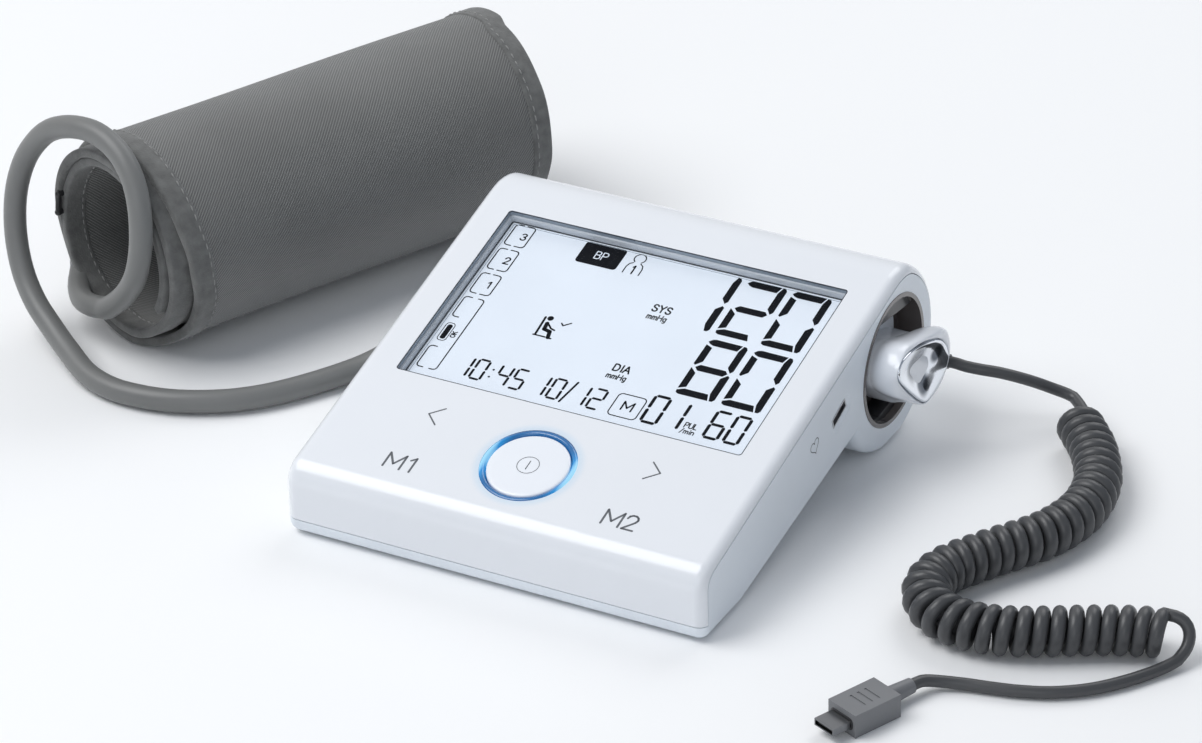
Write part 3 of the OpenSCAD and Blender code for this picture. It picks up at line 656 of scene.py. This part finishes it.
def word(marks, text, x, y, h, w, gap=0.24, wide=None, sx=1.0, turn=0):
    cx = 0.0
    out = []
    for ch in text:
        lines = GLYPH[ch]
        right_edge = max(p[0] for ln in lines for p in ln)
        out += [[(cx + px, py) for px, py in ln] for ln in lines]
        cx += right_edge + gap
    total = cx - gap
    k = (wide / total) if wide else h * sx
    ca, sa = cos(radians(turn)), sin(radians(turn))
    for ln in out:
        marks.line([(x + px * k * ca - py * h * sa, y + px * k * sa + py * h * ca) for px, py in ln], w)


def lcd(px, py):
    return (px / 14.0 - 68.0, 128.0 - py / 14.0)


seg = Marks(lambda x, v: pan(x, v, -4.15))
SEG = {
    "a": [(2, 23), (18, 5), (35, 0), (175, 2), (162, 43), (35, 43), (15, 35)],
    "b": [(182, 2), (198, 5), (207, 20), (207, 173), (195, 190), (170, 158), (170, 43)],
    "f": [(2, 43), (38, 58), (38, 156), (10, 188), (0, 180)],
    "g": [(18, 200), (38, 180), (170, 180), (187, 198), (170, 220), (38, 220)],
    "e": [(2, 206), (38, 238), (38, 336), (2, 354)],
    "c": [(195, 206), (207, 216), (207, 376), (197, 390), (182, 390), (168, 343), (168, 236)],
    "d": [(2, 366), (35, 350), (160, 350), (175, 391), (20, 391), (5, 383)],
}
DIGIT = {"0": "abcdef", "1": "bc", "2": "abged", "4": "fgbc", "5": "afgcd", "6": "afgecd", "7": "abc",
         "8": "abcdefg"}


def big_digit(ch, x0, y0, w=207, h=393):
    for s in DIGIT[ch]:
        seg.poly([lcd(x0 + px * w / 207, y0 + py * h / 393) for px, py in SEG[s]])


def small_digit(ch, x0, x1, y0, y1, t):
    ym = (y0 + y1) / 2
    g, h = t / 2, 2.0
    xa, xb = x0 + g, x1 - g
    L_ = {"a": [(xa, y0 + g), (xb, y0 + g)], "g": [(xa, ym), (xb, ym)], "d": [(xa, y1 - g), (xb, y1 - g)],
          "f": [(xa, y0 + g), (xa, ym)], "b": [(xb, y0 + g), (xb, ym)],
          "e": [(xa, ym), (xa, y1 - g)], "c": [(xb, ym), (xb, y1 - g)]}
    for s in DIGIT[ch]:
        a, b = Vector(L_[s][0]), Vector(L_[s][1])
        d = (b - a).normalized()
        a, b = a + d * h, b - d * h
        n_ = Vector((-d.y, d.x)) * g
        q = d * g * 0.9
        seg.poly([lcd(*p) for p in (a, a + q + n_, b - q + n_, b, b - q - n_, a + q - n_)])


big_digit("1", 1113, 65)
big_digit("2", 1350, 65, 210)
big_digit("0", 1590, 65)
big_digit("8", 1350, 492)
big_digit("0", 1590, 492)
for ch, a, b in (("1", 273, 343), ("0", 355, 425), ("4", 483, 555), ("5", 567, 637)):
    small_digit(ch, a, b, 968, 1112, 13)
for y in (1020, 1070):
    seg.poly([lcd(455 + 6 * cos(t), y + 6 * sin(t)) for t in [k * pi / 5 for k in range(10)]])
for ch, a, b in (("1", 687, 757), ("0", 770, 840), ("1", 902, 972), ("2", 985, 1057)):
    small_digit(ch, a, b, 968, 1112, 13)
seg.line([lcd(855, 1112), lcd(885, 968)], 0.8)
small_digit("0", 1273, 1368, 918, 1112, 17)
small_digit("1", 1380, 1475, 918, 1112, 17)
small_digit("6", 1600, 1690, 918, 1112, 17)
small_digit("0", 1705, 1793, 918, 1112, 17)


def px_rect(x0, y0, x1, y1, rr):
    w, h = (x1 - x0) / 14, (y1 - y0) / 14
    cx, cy = lcd((x0 + x1) / 2, (y0 + y1) / 2)
    return round_rect(cx, cy, w, h, rr / 14)


def px_word(text, x0, x1, y0, y1, w, marks=None):
    word(marks or seg, text, *lcd(x0, y1), (y1 - y0) / 14, w, wide=(x1 - x0) / 14)


seg.line(px_rect(1108, 965, 1255, 1113, 22), 0.42, closed=True)
px_word("M", 1158, 1210, 1010, 1066, 0.62)
px_word("PUL", 1497, 1560, 1043, 1076, 0.40)
px_word("/min", 1492, 1562, 1085, 1113, 0.38)
px_word("SYS", 992, 1088, 362, 408, 0.6)
px_word("mmHg", 990, 1090, 427, 462, 0.42)
px_word("DIA", 1000, 1085, 794, 838, 0.6)
px_word("mmHg", 990, 1090, 857, 890, 0.42)
seg.poly(px_rect(470, 62, 693, 210, 18))
seg.line([lcd(776 + 30 * cos(t), 97 + 31 * sin(t)) for t in [radians(125 + 290 * k / 20) for k in range(21)]], 0.42)
shoulders = [(733, 208), (733, 165), (740, 142), (756, 130)]
seg.line([lcd(*p) for p in shoulders] + [lcd(1556 - px, py) for px, py in shoulders[::-1]][:0], 0.42)
seg.line([lcd(1552 - px, py) for px, py in shoulders], 0.42)
seg.line([lcd(770, 160), lcd(779, 150), lcd(779, 206)], 0.6)


def bracket(x0, x1, y0, y1, gap=None, side=0):
    c, w = 16, 0.46
    if gap or side < 0:
        xe = gap[0] if gap else x1
        seg.line([lcd(*p) for p in ((xe, y0), (x0 + c, y0), (x0 + c * .3, y0 + c * .3), (x0, y0 + c), (x0, y1 - c),
                                    (x0 + c * .3, y1 - c * .3), (x0 + c, y1), (xe, y1))], w)
    if gap or side > 0:
        xe = gap[1] if gap else x0
        seg.line([lcd(*p) for p in ((xe, y0), (x1 - c, y0), (x1 - c * .3, y0 + c * .3), (x1, y0 + c), (x1, y1 - c),
                                    (x1 - c * .3, y1 - c * .3), (x1 - c, y1), (xe, y1))], w)


for (y0, y1), ch in (((62, 210), "3"), ((240, 390), "2"), ((425, 570), "1")):
    bracket(78, 187, y0, y1, gap=(118, 138))
    word(seg, ch, *lcd(141, (y0 + y1) / 2 + 22), 44 / 14, 0.55)
bracket(78, 116, 603, 748, side=-1)
bracket(78, 116, 963, 1112, side=-1)
bracket(150, 186, 603, 1112, side=1)
seg.poly(px_rect(94, 806, 122, 908, 12))
seg.line(px_rect(84, 795, 131, 919, 18), 0.3, closed=True)
word(seg, "OK", lcd(164, 884)[0], lcd(164, 884)[1], 24 / 14, 0.42, turn=90)
# seated figure, all strokes
seg.poly([lcd(551 + 16 * cos(t), 613 + 16 * sin(t)) for t in [k * pi / 10 for k in range(20)]])
for ln, w in (([(524, 612), (530, 735)], 0.85), ([(551, 648), (555, 690), (590, 697), (600, 738)], 1.5),
              ([(560, 652), (585, 676), (607, 682)], 0.7), ([(596, 740), (616, 740)], 0.7),
              ([(520, 738), (585, 738)], 0.6), ([(618, 626), (632, 640), (664, 612)], 0.55)):
    seg.line([lcd(*p) for p in ln], w)
segments = seg.piece("display_segments", M["segments"])
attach(segments, "monitor")
pale = Marks(lambda x, v: pan(x, v, -4.12))
px_word("BP", 553, 617, 113, 163, 0.42, marks=pale)
pale_marks = pale.piece("display_letters", M["lcd_glass"])
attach(pale_marks, "monitor")

ink = Marks(lambda x, v: pan(x, v, 0.03))
ink.line([(-39.3, 29.3), (-43.8, 25.3), (-39.3, 21.2)], 0.55)
ink.line([(39.3, 29.3), (43.8, 25.3), (39.3, 21.2)], 0.55)
word(ink, "M", -47, -1.7, 6.5, 0.78, wide=6.2)
word(ink, "1", -39.2, -1.7, 6.5, 0.78)
word(ink, "M", 35.2, -1.7, 6.5, 0.78, wide=6.2)
word(ink, "2", 42.9, -1.7, 6.5, 0.78)
legends = ink.piece("panel_legends", M["legend_ink"])
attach(legends, "monitor")
mark = Marks(lambda x, v: pan(x, v, 0.17))
mark.line(circle(0, BUTTON_V, 3.8, 40), 0.22, closed=True)
mark.line([(0, BUTTON_V - 2.0), (0, BUTTON_V + 2.0)], 0.35)
button_mark = mark.piece("button_mark", M["legend_ink"])
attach(button_mark, "start_button")
# plain heart outline beside the lead's socket
heart = Marks(lambda y, z: (79.04, y, z))
hp = []
for k in range(41):
    t = 2 * pi * k / 40
    hx = 16 * sin(t) ** 3 / 16
    hy = (13 * cos(t) - 5 * cos(2 * t) - 2 * cos(3 * t) - cos(4 * t)) / 16
    a = radians(14.7)
    hp.append((67.8 + 3.0 * (hx * cos(a) - hy * sin(a)), 31.8 + 3.0 * (hx * sin(a) + hy * cos(a))))
heart.line(hp, 0.32)
side_mark = heart.piece("side_mark", M["legend_ink"])
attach(side_mark, "monitor")


# ---- stepped frame round the display ----
def frame_ring(name, sizes, mat):
    rings_ = []
    for grow_, w, rr in sizes:
        rings_.append([pan(x, v, w) for x, v in round_rect(0, 83.4, 131.2 + 2 * grow_, 84.2 + 2 * grow_, rr, 6)])
    obj = loft(name, rings_, mat, caps=False)
    finish_edges(obj, 30, weighted=False)
    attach(obj, "monitor")
    return obj


M["frame_line"] = material("frame_line", (0.03, 0.04, 0.055), 0.35, coat=0.2)
M["frame_pale"] = material("frame_pale", (0.56, 0.60, 0.65), 0.3, coat=0.3)
step = frame_ring("display_step", [(-0.02, -0.25, 1.2), (-0.25, -0.35, 1.0), (-0.25, -1.7, 1.0), (-0.1, -1.7, 1.0),
                                   (0.0, -0.25, 1.2)], M["frame_blue"])
frame_ring("display_ledge", [(-0.1, -1.7, 1.0), (-0.9, -1.78, 0.8), (-0.95, -1.9, 0.8), (-0.95, -4.1, 0.8),
                             (-0.1, -4.1, 1.0)], M["frame_pale"])
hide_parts("display_frame")
frame_ring("display_line", [(-0.9, -4.12, 0.8), (-1.35, -4.12, 0.6), (-1.35, -4.19, 0.6), (-0.9, -4.19, 0.8)],
           M["frame_line"])
frame_ring("display_line_inner", [(-2.15, -4.12, 0.5), (-2.32, -4.12, 0.5), (-2.32, -4.19, 0.5), (-2.15, -4.19, 0.5)],
           M["frame_blue"])
frame_ring("display_rim", [(0.0, 0.02, 1.2), (-0.3, 0.02, 1.1), (-0.3, -0.3, 1.1), (0.0, -0.3, 1.2)],
           M["frame_line"])

# ---- grip of the electrode stick ----
def hull_ring(x, centres, rr, n=112, shrink=1.0):
    out = []
    my = sum(c[0] for c in centres) / len(centres)
    mz = sum(c[1] for c in centres) / len(centres)
    for k in range(n):
        a = 2 * pi * k / n
        uy, uz = cos(a), sin(a)
        cy, cz = max(centres, key=lambda c: c[0] * uy + c[1] * uz)
        y, z = cy + rr * uy, cz + rr * uz
        out.append((x, my + (y - my) * shrink, mz + (z - mz) * shrink))
    return out


def blend_rings(a, b, t):
    return [tuple(p[i] * (1 - t) + q[i] * t for i in range(3)) for p, q in zip(a, b)]


BAR = [(117, 29), (141, 29), (141, 38), (117, 38)]
KNOB = [(117.5, 37.5), (131.5, 24.5), (138.5, 30)]
FLARE = [(116.0, 38.2), (132.5, 27), (140.5, 27), (143, 31)]
CAP_EDGE = [(107.4, 42.2), (111.4, 45.2), (119.8, 45.0), (128.6, 43.0), (137.6, 39.6), (144.4, 35.2), (148.2, 28.8),
            (147.0, 25.2), (142.2, 22.0), (135.4, 19.5), (130.4, 19.0), (125.5, 21.9), (119.5, 27.2), (112.8, 34.0),
            (108.3, 39.0)]


def closed_curve(pts, n):
    k = len(pts)
    dense = []
    for i_ in range(k):
        a, b, c, d = [Vector(pts[(i_ + j - 1) % k]) for j in range(4)]
        for m_ in range(24):
            t = m_ / 24
            dense.append(0.5 * ((2 * b) + (c - a) * t + (2 * a - 5 * b + 4 * c - d) * t * t
                                + (3 * b - a - 3 * c + d) * t ** 3))
    for _ in range(10):
        dense = [(dense[j - 1] + dense[j] * 2 + dense[(j + 1) % len(dense)]) / 4 for j in range(len(dense))]
    mid = sum(dense, Vector((0, 0))) / len(dense)
    out = []
    for j in range(n):
        want = 2 * pi * j / n
        best = min(dense, key=lambda p: abs((math.atan2(p.y - mid.y, p.x - mid.x) - want + pi) % (2 * pi) - pi))
        out.append((want, (best - mid).length))
    radius = [r_ for _, r_ in out]
    for _ in range(3):
        radius = [(radius[j - 1] + radius[j] * 2 + radius[(j + 1) % n]) / 4 for j in range(n)]
    return mid, radius


CAP_MID, CAP_RADIUS = closed_curve(CAP_EDGE, 112)


def cap_ring(x, inset=0.0, shrink=1.0):
    ring_ = []
    for j, rad in enumerate(CAP_RADIUS):
        a = 2 * pi * j / 112
        rr_ = (rad - inset) * shrink
        ring_.append((x(a) if callable(x) else x, CAP_MID.x + rr_ * cos(a), CAP_MID.y + rr_ * sin(a)))
    return ring_


def at(x, ring_):
    return [(x, y, z) for _, y, z in ring_]


def by_angle(centres, rr):
    """The same outline, with its points at even angles about the cap's middle."""
    hull = [Vector((p[1], p[2])) for p in hull_ring(0, centres, rr, n=360)]
    pts = []
    for p, q in zip(hull, hull[1:] + hull[:1]):
        n_ = max(1, int((q - p).length / 0.12))
        pts += [p.lerp(q, k / n_) for k in range(n_)]
    out = []
    for j in range(112):
        want = 2 * pi * j / 112
        best = min(pts, key=lambda p: abs((math.atan2(p.y - CAP_MID.y, p.x - CAP_MID.x) - want + pi) % (2 * pi) - pi))
        out.append((0, best.x, best.y))
    for _ in range(6):
        out = [(0, (out[j - 1][1] + 2 * out[j][1] + out[(j + 1) % 112][1]) / 4,
                (out[j - 1][2] + 2 * out[j][2] + out[(j + 1) % 112][2]) / 4) for j in range(112)]
    return out


k_ring, f_ring = by_angle(KNOB, 8.5), by_angle(FLARE, 9.6)
rings = [at(-28, by_angle(BAR, 4.4)), at(-27.6, by_angle(BAR, 5.2)), at(-26.6, by_angle(BAR, 5.9)),
         at(-25, by_angle(BAR, 6)), at(69.8, by_angle(BAR, 6)), at(70.4, by_angle(BAR, 6)),
         at(70.5, blend_rings(by_angle(KNOB, 8.5), by_angle(KNOB, 6.5), 0.3)), at(71.2, by_angle(KNOB, 8.5)),
         at(79.0, k_ring)]
for x, t in ((79.8, 0.10), (80.6, 0.26), (81.6, 0.46), (82.9, 0.67), (84.3, 0.84), (85.8, 0.95), (87.4, 1.0)):
    rings.append(at(x, blend_rings(k_ring, f_ring, t)))
lip, seat = by_angle(FLARE, 9.6), cap_ring(0, -0.55)
rings += [at(88.6, blend_rings(lip, seat, 0.03)), at(89.4, blend_rings(lip, seat, 0.12)),
          at(90.0, blend_rings(lip, seat, 0.27)), at(90.4, blend_rings(lip, seat, 0.5)),
          at(90.55, blend_rings(lip, seat, 0.78)), at(90.5, blend_rings(lip, seat, 0.94)), at(90.25, seat),
          cap_ring(89.0, -0.5)]
grip = loft("electrode_grip", rings, M["white_shell"])
finish_edges(grip, 38)
grip_white = material("grip_white", (0.82, 0.85, 0.90), 0.24, coat=0.4, var=0.012, bump=0.03)
grip.data.materials.clear()
grip.data.materials.append(grip_white)
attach(grip, "electrode_stick")
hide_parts("stick_front_shell", "stick_rear_shell")
rings = [cap_ring(88.8), cap_ring(90.4), cap_ring(90.75, 0.12), cap_ring(90.95, 0.4), cap_ring(91.0, 0.8)]
for k in range(1, 15):
    sh = 1 - k / 14 * 0.99
    rings.append(cap_ring(lambda a: 91.0 - 2.5 * (1 - sh * sh) ** 1.5 - 1.5 * sh * sh * (1 - sh) * (1 + cos(2 * (a - 0.9))),
                          0.8, sh))
cap = loft("chrome_cap", rings, M["chrome"])
finish_edges(cap, 70)
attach(cap, "electrode_stick")
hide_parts("end_electrode")

# ---- cuff: one long sheet rolled up ----
S = Vector((sin(radians(25)), cos(radians(25)), 0))
X = Vector((cos(radians(25)), -sin(radians(25)), 0))
C0 = Vector((-193.7, 81.5, 39.6))


def table(pairs, x):
    for (a, va), (b, vb) in zip(pairs, pairs[1:]):
        if x <= b:
            t = (x - a) / (b - a)
            t = t * t * (3 - 2 * t)
            return va + (vb - va) * t
    return pairs[-1][1]


R_TAB = [(0, 37.5), (300, 37.55), (410, 34.2), (700, 33.9), (780, 30.6), (960, 30.2)]
NEAR = [(0, -6), (115, -6), (145, -5.6), (174, -4.6), (199, -3.1), (224, -1.4), (242, -1.7), (265, -4), (295, -9.5),
        (325, -11), (355, -12), (400, -14.2), (470, -14), (530, -10), (590, -9), (650, -11), (720, -13), (960, -11)]
FAR = [(0, 157.5), (115, 157.5), (128, 155), (168, 153.5), (205, 152), (226, 150.6), (300, 149), (400, 147), (960, 146)]


def cuff_point(a, s, dr=0.0):
    rr = table(R_TAB, a) + dr
    phi = radians(205 - a)
    inner_shift = table([(0, 0.0), (320, 0.0), (430, 1.0), (960, 1.0)], a)
    c = C0 + Vector((0, 0, 1)) * inner_shift * 0.9 - X * inner_shift * 0.5
    wob = 0.25 * sin(a * 0.031 + s * 0.05) + 0.18 * sin(a * 0.11 - s * 0.021)
    return c + S * s + (X * cos(phi) + Vector((0, 0, 1)) * sin(phi)) * (rr + wob * 0.6)


def arc_run(a0, a1, step):
    out, total, a = [], 0.0, a0
    prev = cuff_point(a, 60)
    while True:
        out.append((a, total))
        if a >= a1:
            break
        a = min(a + step, a1)
        p = cuff_point(a, 60)
        total += (p - prev).length
        prev = p
    return out


def strip(name, a0, a1, edge0, edge1, n_s, mat, dr=0.0, step=3.0):
    run_ = arc_run(a0, a1, step)
    verts, uvs, faces = [], [], []
    for a, l in run_:
        s0, s1 = edge0(a), edge1(a)
        for j in range(n_s + 1):
            s = s0 + (s1 - s0) * j / n_s
            verts.append(tuple(cuff_point(a, s, dr)))
            uvs.append((l * MM, s * MM))
    w = n_s + 1
    for i_ in range(len(run_) - 1):
        for j in range(n_s):
            faces.append((i_ * w + j, i_ * w + j + 1, (i_ + 1) * w + j + 1, (i_ + 1) * w + j))
    obj = mesh_piece(name, verts, faces, mat)
    layer = obj.data.uv_layers.new(name="cloth")
    for lp in obj.data.loops:
        layer.data[lp.index].uv = uvs[lp.vertex_index]
    return obj, run_[-1][1]


def near(a):
    return table(NEAR, a)


def far(a):
    return table(FAR, a)


cuff, cuff_run = strip("cuff_sheet", 0, 960, near, far, 56, M["cuff_fabric"])
sol = cuff.modifiers.new("thick", "SOLIDIFY")
sol.thickness, sol.offset = 0.0022, 0.0
sol.use_rim = True
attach(cuff, "arm_cuff")
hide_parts("cuff_wrap", "cuff_bladder", "cuff_lining", "hook_patch")


def hem(name, a0, a1, e0, e1, n_s=4):
    obj, _ = strip(name, a0, a1, e0, e1, n_s, M["binding_tape"], step=3.0)
    m1 = obj.modifiers.new("thick", "SOLIDIFY")
    m1.thickness, m1.offset = 0.0035, 0.0
    m2 = obj.modifiers.new("soft", "BEVEL")
    m2.width, m2.segments, m2.limit_method, m2.angle_limit = 0.0009, 3, "ANGLE", radians(50)
    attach(obj, "arm_cuff")
    return obj


near_hem = hem("near_hem", 0, 960, lambda a: near(a) - 0.4, lambda a: near(a) + 8.4)
far_hem = hem("far_hem", 0, 960, lambda a: far(a) - 8.0, lambda a: far(a) + 0.4)
start_hem = hem("start_hem", 0.5, 13, lambda a: near(a) - 0.2, lambda a: far(a) + 0.2, 50)
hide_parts("near_binding")
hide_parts("far_binding")


def stitches(name, a0, a1, s_of, dr, pitch=3.4, length=2.3, sides=(1,)):
    verts, faces = [], []
    run_ = arc_run(a0, a1, 1.0)
    nxt = 1.0
    for a, l in run_:
        if l < nxt:
            continue
        nxt += pitch
        for side_ in sides:
            s = s_of(a)
            p = cuff_point(a, s, dr * side_)
            q = cuff_point(a + 0.5, s, dr * side_)
            t = (q - p).normalized()
            phi = radians(205 - a)
            nrm = (X * cos(phi) + Vector((0, 0, 1)) * sin(phi)) * side_
            b = S
            base = len(verts)
            for e, hgt, wid in ((-1, 0.0, 0.14), (-0.55, 0.26, 0.24), (0.0, 0.34, 0.26), (0.55, 0.26, 0.24),
                                (1, 0.0, 0.14)):
                c = p + t * e * length / 2
                verts += [tuple(c + b * wid - nrm * 0.15), tuple(c + b * wid * 0.6 + nrm * hgt),
                          tuple(c - b * wid * 0.6 + nrm * hgt), tuple(c - b * wid - nrm * 0.15)]
            for k in range(4):
                for j in range(4):
                    m_ = (j + 1) % 4
                    faces.append((base + k * 4 + j, base + k * 4 + m_, base + k * 4 + 4 + m_, base + k * 4 + 4 + j))
            faces += [(base, base + 1, base + 2, base + 3), (base + 16, base + 17, base + 18, base + 19)]
    obj = outward(mesh_piece(name, verts, faces, M["thread"]))
    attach(obj, "arm_cuff")
    return obj


stitches("near_stitching", 0, 400, lambda a: near(a) + 7.0, 1.75)
stitches("inner_stitching", 330, 950, lambda a: near(a) + 6.8, 1.75, sides=(-1,))
stitches("far_stitching", 0, 400, lambda a: far(a) - 6.0, 1.75)

# ---- CAD pieces that stay: better materials, softened edges where they show ----
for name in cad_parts:
    obj = bpy.data.objects.get(name)
    if obj is None or obj.type != "MESH":
        continue
    for slot_ in obj.material_slots:
        if slot_.material is None:
            continue
        key = slot_.material.name.split(".")[0]
        for cand in (key, key.replace("-", "_").lower()):
            if cand in M:
                slot_.material = M[cand]
                break
        else:
            print("no material for", name, key)
for name, w in (("plug_body", 0.0009), ("air_plug", 0.0006), ("dock_mouth", 0.0005), ("dock_rails", 0.0006),
                ("battery_cover", 0.0004), ("rubber_feet", 0.0006), ("plug_shell", 0.0002)):
    obj = bpy.data.objects.get(name)
    if obj:
        bev = obj.modifiers.new("soft_edge", "BEVEL")
        bev.width, bev.segments, bev.limit_method, bev.angle_limit = w, 3, "ANGLE", radians(40)
        bev.use_clamp_overlap = True

bpy.data.objects["plug_shell"].material_slots[0].material = M["shell_steel"]
turn = radians(-113.3)


def plug_pt(x, y, z):
    return (147 + x * cos(turn) - y * sin(turn), -19 + x * sin(turn) + y * cos(turn), z)


collar = loft("plug_collar", [[plug_pt(x, y, 4.2 + z) for y, z in round_rect(0, 0, w, h, rr, 5)]
                              for x, w, h, rr in ((18.9, 10.6, 4.4, 1.6), (19.15, 10.6, 4.4, 1.6),
                                                  (19.3, 10.1, 3.9, 1.4), (19.3, 9.3, 2.9, 0.8),
                                                  (18.9, 9.3, 2.9, 0.8), (18.9, 10.6, 4.4, 1.6))],
              M["black_plastic"], caps=False)
finish_edges(collar, 40, weighted=False)
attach(collar, "electrode_stick")


# painted reflection: dark patches painted into the chrome's colour by position, standing for the dark reflections in
# the cap's two hollows
def paint_dark_reflections(m, spots, tint):
    nodes, links = m.node_tree.nodes, m.node_tree.links
    b = nodes["Principled BSDF"]
    tc = [n_ for n_ in nodes if n_.bl_idname == "ShaderNodeTexCoord"][0]
    for centre, reach in spots:
        dist = nodes.new("ShaderNodeVectorMath")
        dist.operation = "DISTANCE"
        dist.inputs[1].default_value = centre
        rng = nodes.new("ShaderNodeMapRange")
        rng.interpolation_type = "SMOOTHSTEP"
        rng.inputs["From Min"].default_value = reach * 0.45
        rng.inputs["From Max"].default_value = reach
        rng.inputs["To Min"].default_value = 0.9
        rng.inputs["To Max"].default_value = 0.0
        mix = nodes.new("ShaderNodeMix")
        mix.data_type = "RGBA"
        mix.inputs[7].default_value = (*tint, 1)
        links.new(tc.outputs["Object"], dist.inputs[0])
        links.new(dist.outputs["Value"], rng.inputs["Value"])
        links.new(rng.outputs["Result"], mix.inputs[0])
        links.new(b.inputs["Base Color"].links[0].from_socket, mix.inputs[6])
        links.new(mix.outputs[2], b.inputs["Base Color"])


# paints three dark patches into the chrome cap's colour, standing for reflections
paint_dark_reflections(M["chrome"], [((0.0885, 0.1245, 0.0375), 0.0095), ((0.090, 0.1300, 0.0260), 0.0058),
                     ((0.090, 0.1400, 0.0330), 0.0045)], (0.035, 0.05, 0.075))

# ---- floor, sky and lights ----
floor_mat = material("studio_floor", (0.93, 0.935, 0.94), 0.6, spec=0.25, var=0.004, patch=2.0, bump=0.0)
n, half = 24, 3.0
verts = [(-half + 2 * half * i_ / n, -half + 2 * half * j / n, -0.0002) for j in range(n + 1) for i_ in range(n + 1)]
faces = [(j * (n + 1) + i_, j * (n + 1) + i_ + 1, (j + 1) * (n + 1) + i_ + 1, (j + 1) * (n + 1) + i_)
         for j in range(n) for i_ in range(n)]
floor = mesh_piece("studio_floor", verts, faces, floor_mat, scale=1.0)

world = bpy.data.worlds.new("studio")
scene.world = world
world.use_nodes = True
bg = world.node_tree.nodes["Background"]
wn, wl = world.node_tree.nodes, world.node_tree.links
wtc = wn.new("ShaderNodeTexCoord")
wdot = wn.new("ShaderNodeVectorMath")
wdot.operation = "DOT_PRODUCT"
wdot.inputs[1].default_value = (0.86, -0.42, -0.3)
wramp = wn.new("ShaderNodeValToRGB")
for pos, colour in ((0.0, (1, 1, 1, 1)), (0.45, (0.95, 0.96, 1, 1)), (0.7, (0.74, 0.78, 0.83, 1)),
                    (0.87, (0.30, 0.35, 0.42, 1)), (1.0, (0.12, 0.16, 0.23, 1))):
    if pos in (0.0, 1.0):
        wramp.color_ramp.elements[int(pos)].color = colour
    else:
        wramp.color_ramp.elements.new(pos).color = colour
wmap = wn.new("ShaderNodeMapRange")
wmap.inputs["From Min"].default_value = -1.0
wl.new(wtc.outputs["Generated"], wdot.inputs[0])
wl.new(wdot.outputs["Value"], wmap.inputs["Value"])
wl.new(wmap.outputs["Result"], wramp.inputs["Fac"])
wl.new(wramp.outputs["Color"], bg.inputs["Color"])
bg.inputs["Strength"].default_value = 0.67


def area(name, loc, target, size, power, color=(1, 1, 1)):
    data = bpy.data.lights.new(name, "AREA")
    data.shape, data.size, data.energy, data.color = "SQUARE", size, power, color
    obj = link(bpy.data.objects.new(name, data))
    d = Vector(loc) - Vector(target)
    obj.matrix_world = Matrix.Translation(Vector(loc)) @ d.to_track_quat("Z", "Y").to_matrix().to_4x4()
    return obj


area("key", (-0.9, -0.5, 1.7), (-0.02, 0.06, 0.02), 1.3, 25)
area("fill", (0.5, -1.5, 0.8), (0.0, 0.05, 0.03), 1.0, 3.5)
area("rear", (0.1, 1.3, 1.2), (0.0, 0.1, 0.03), 1.0, 7)
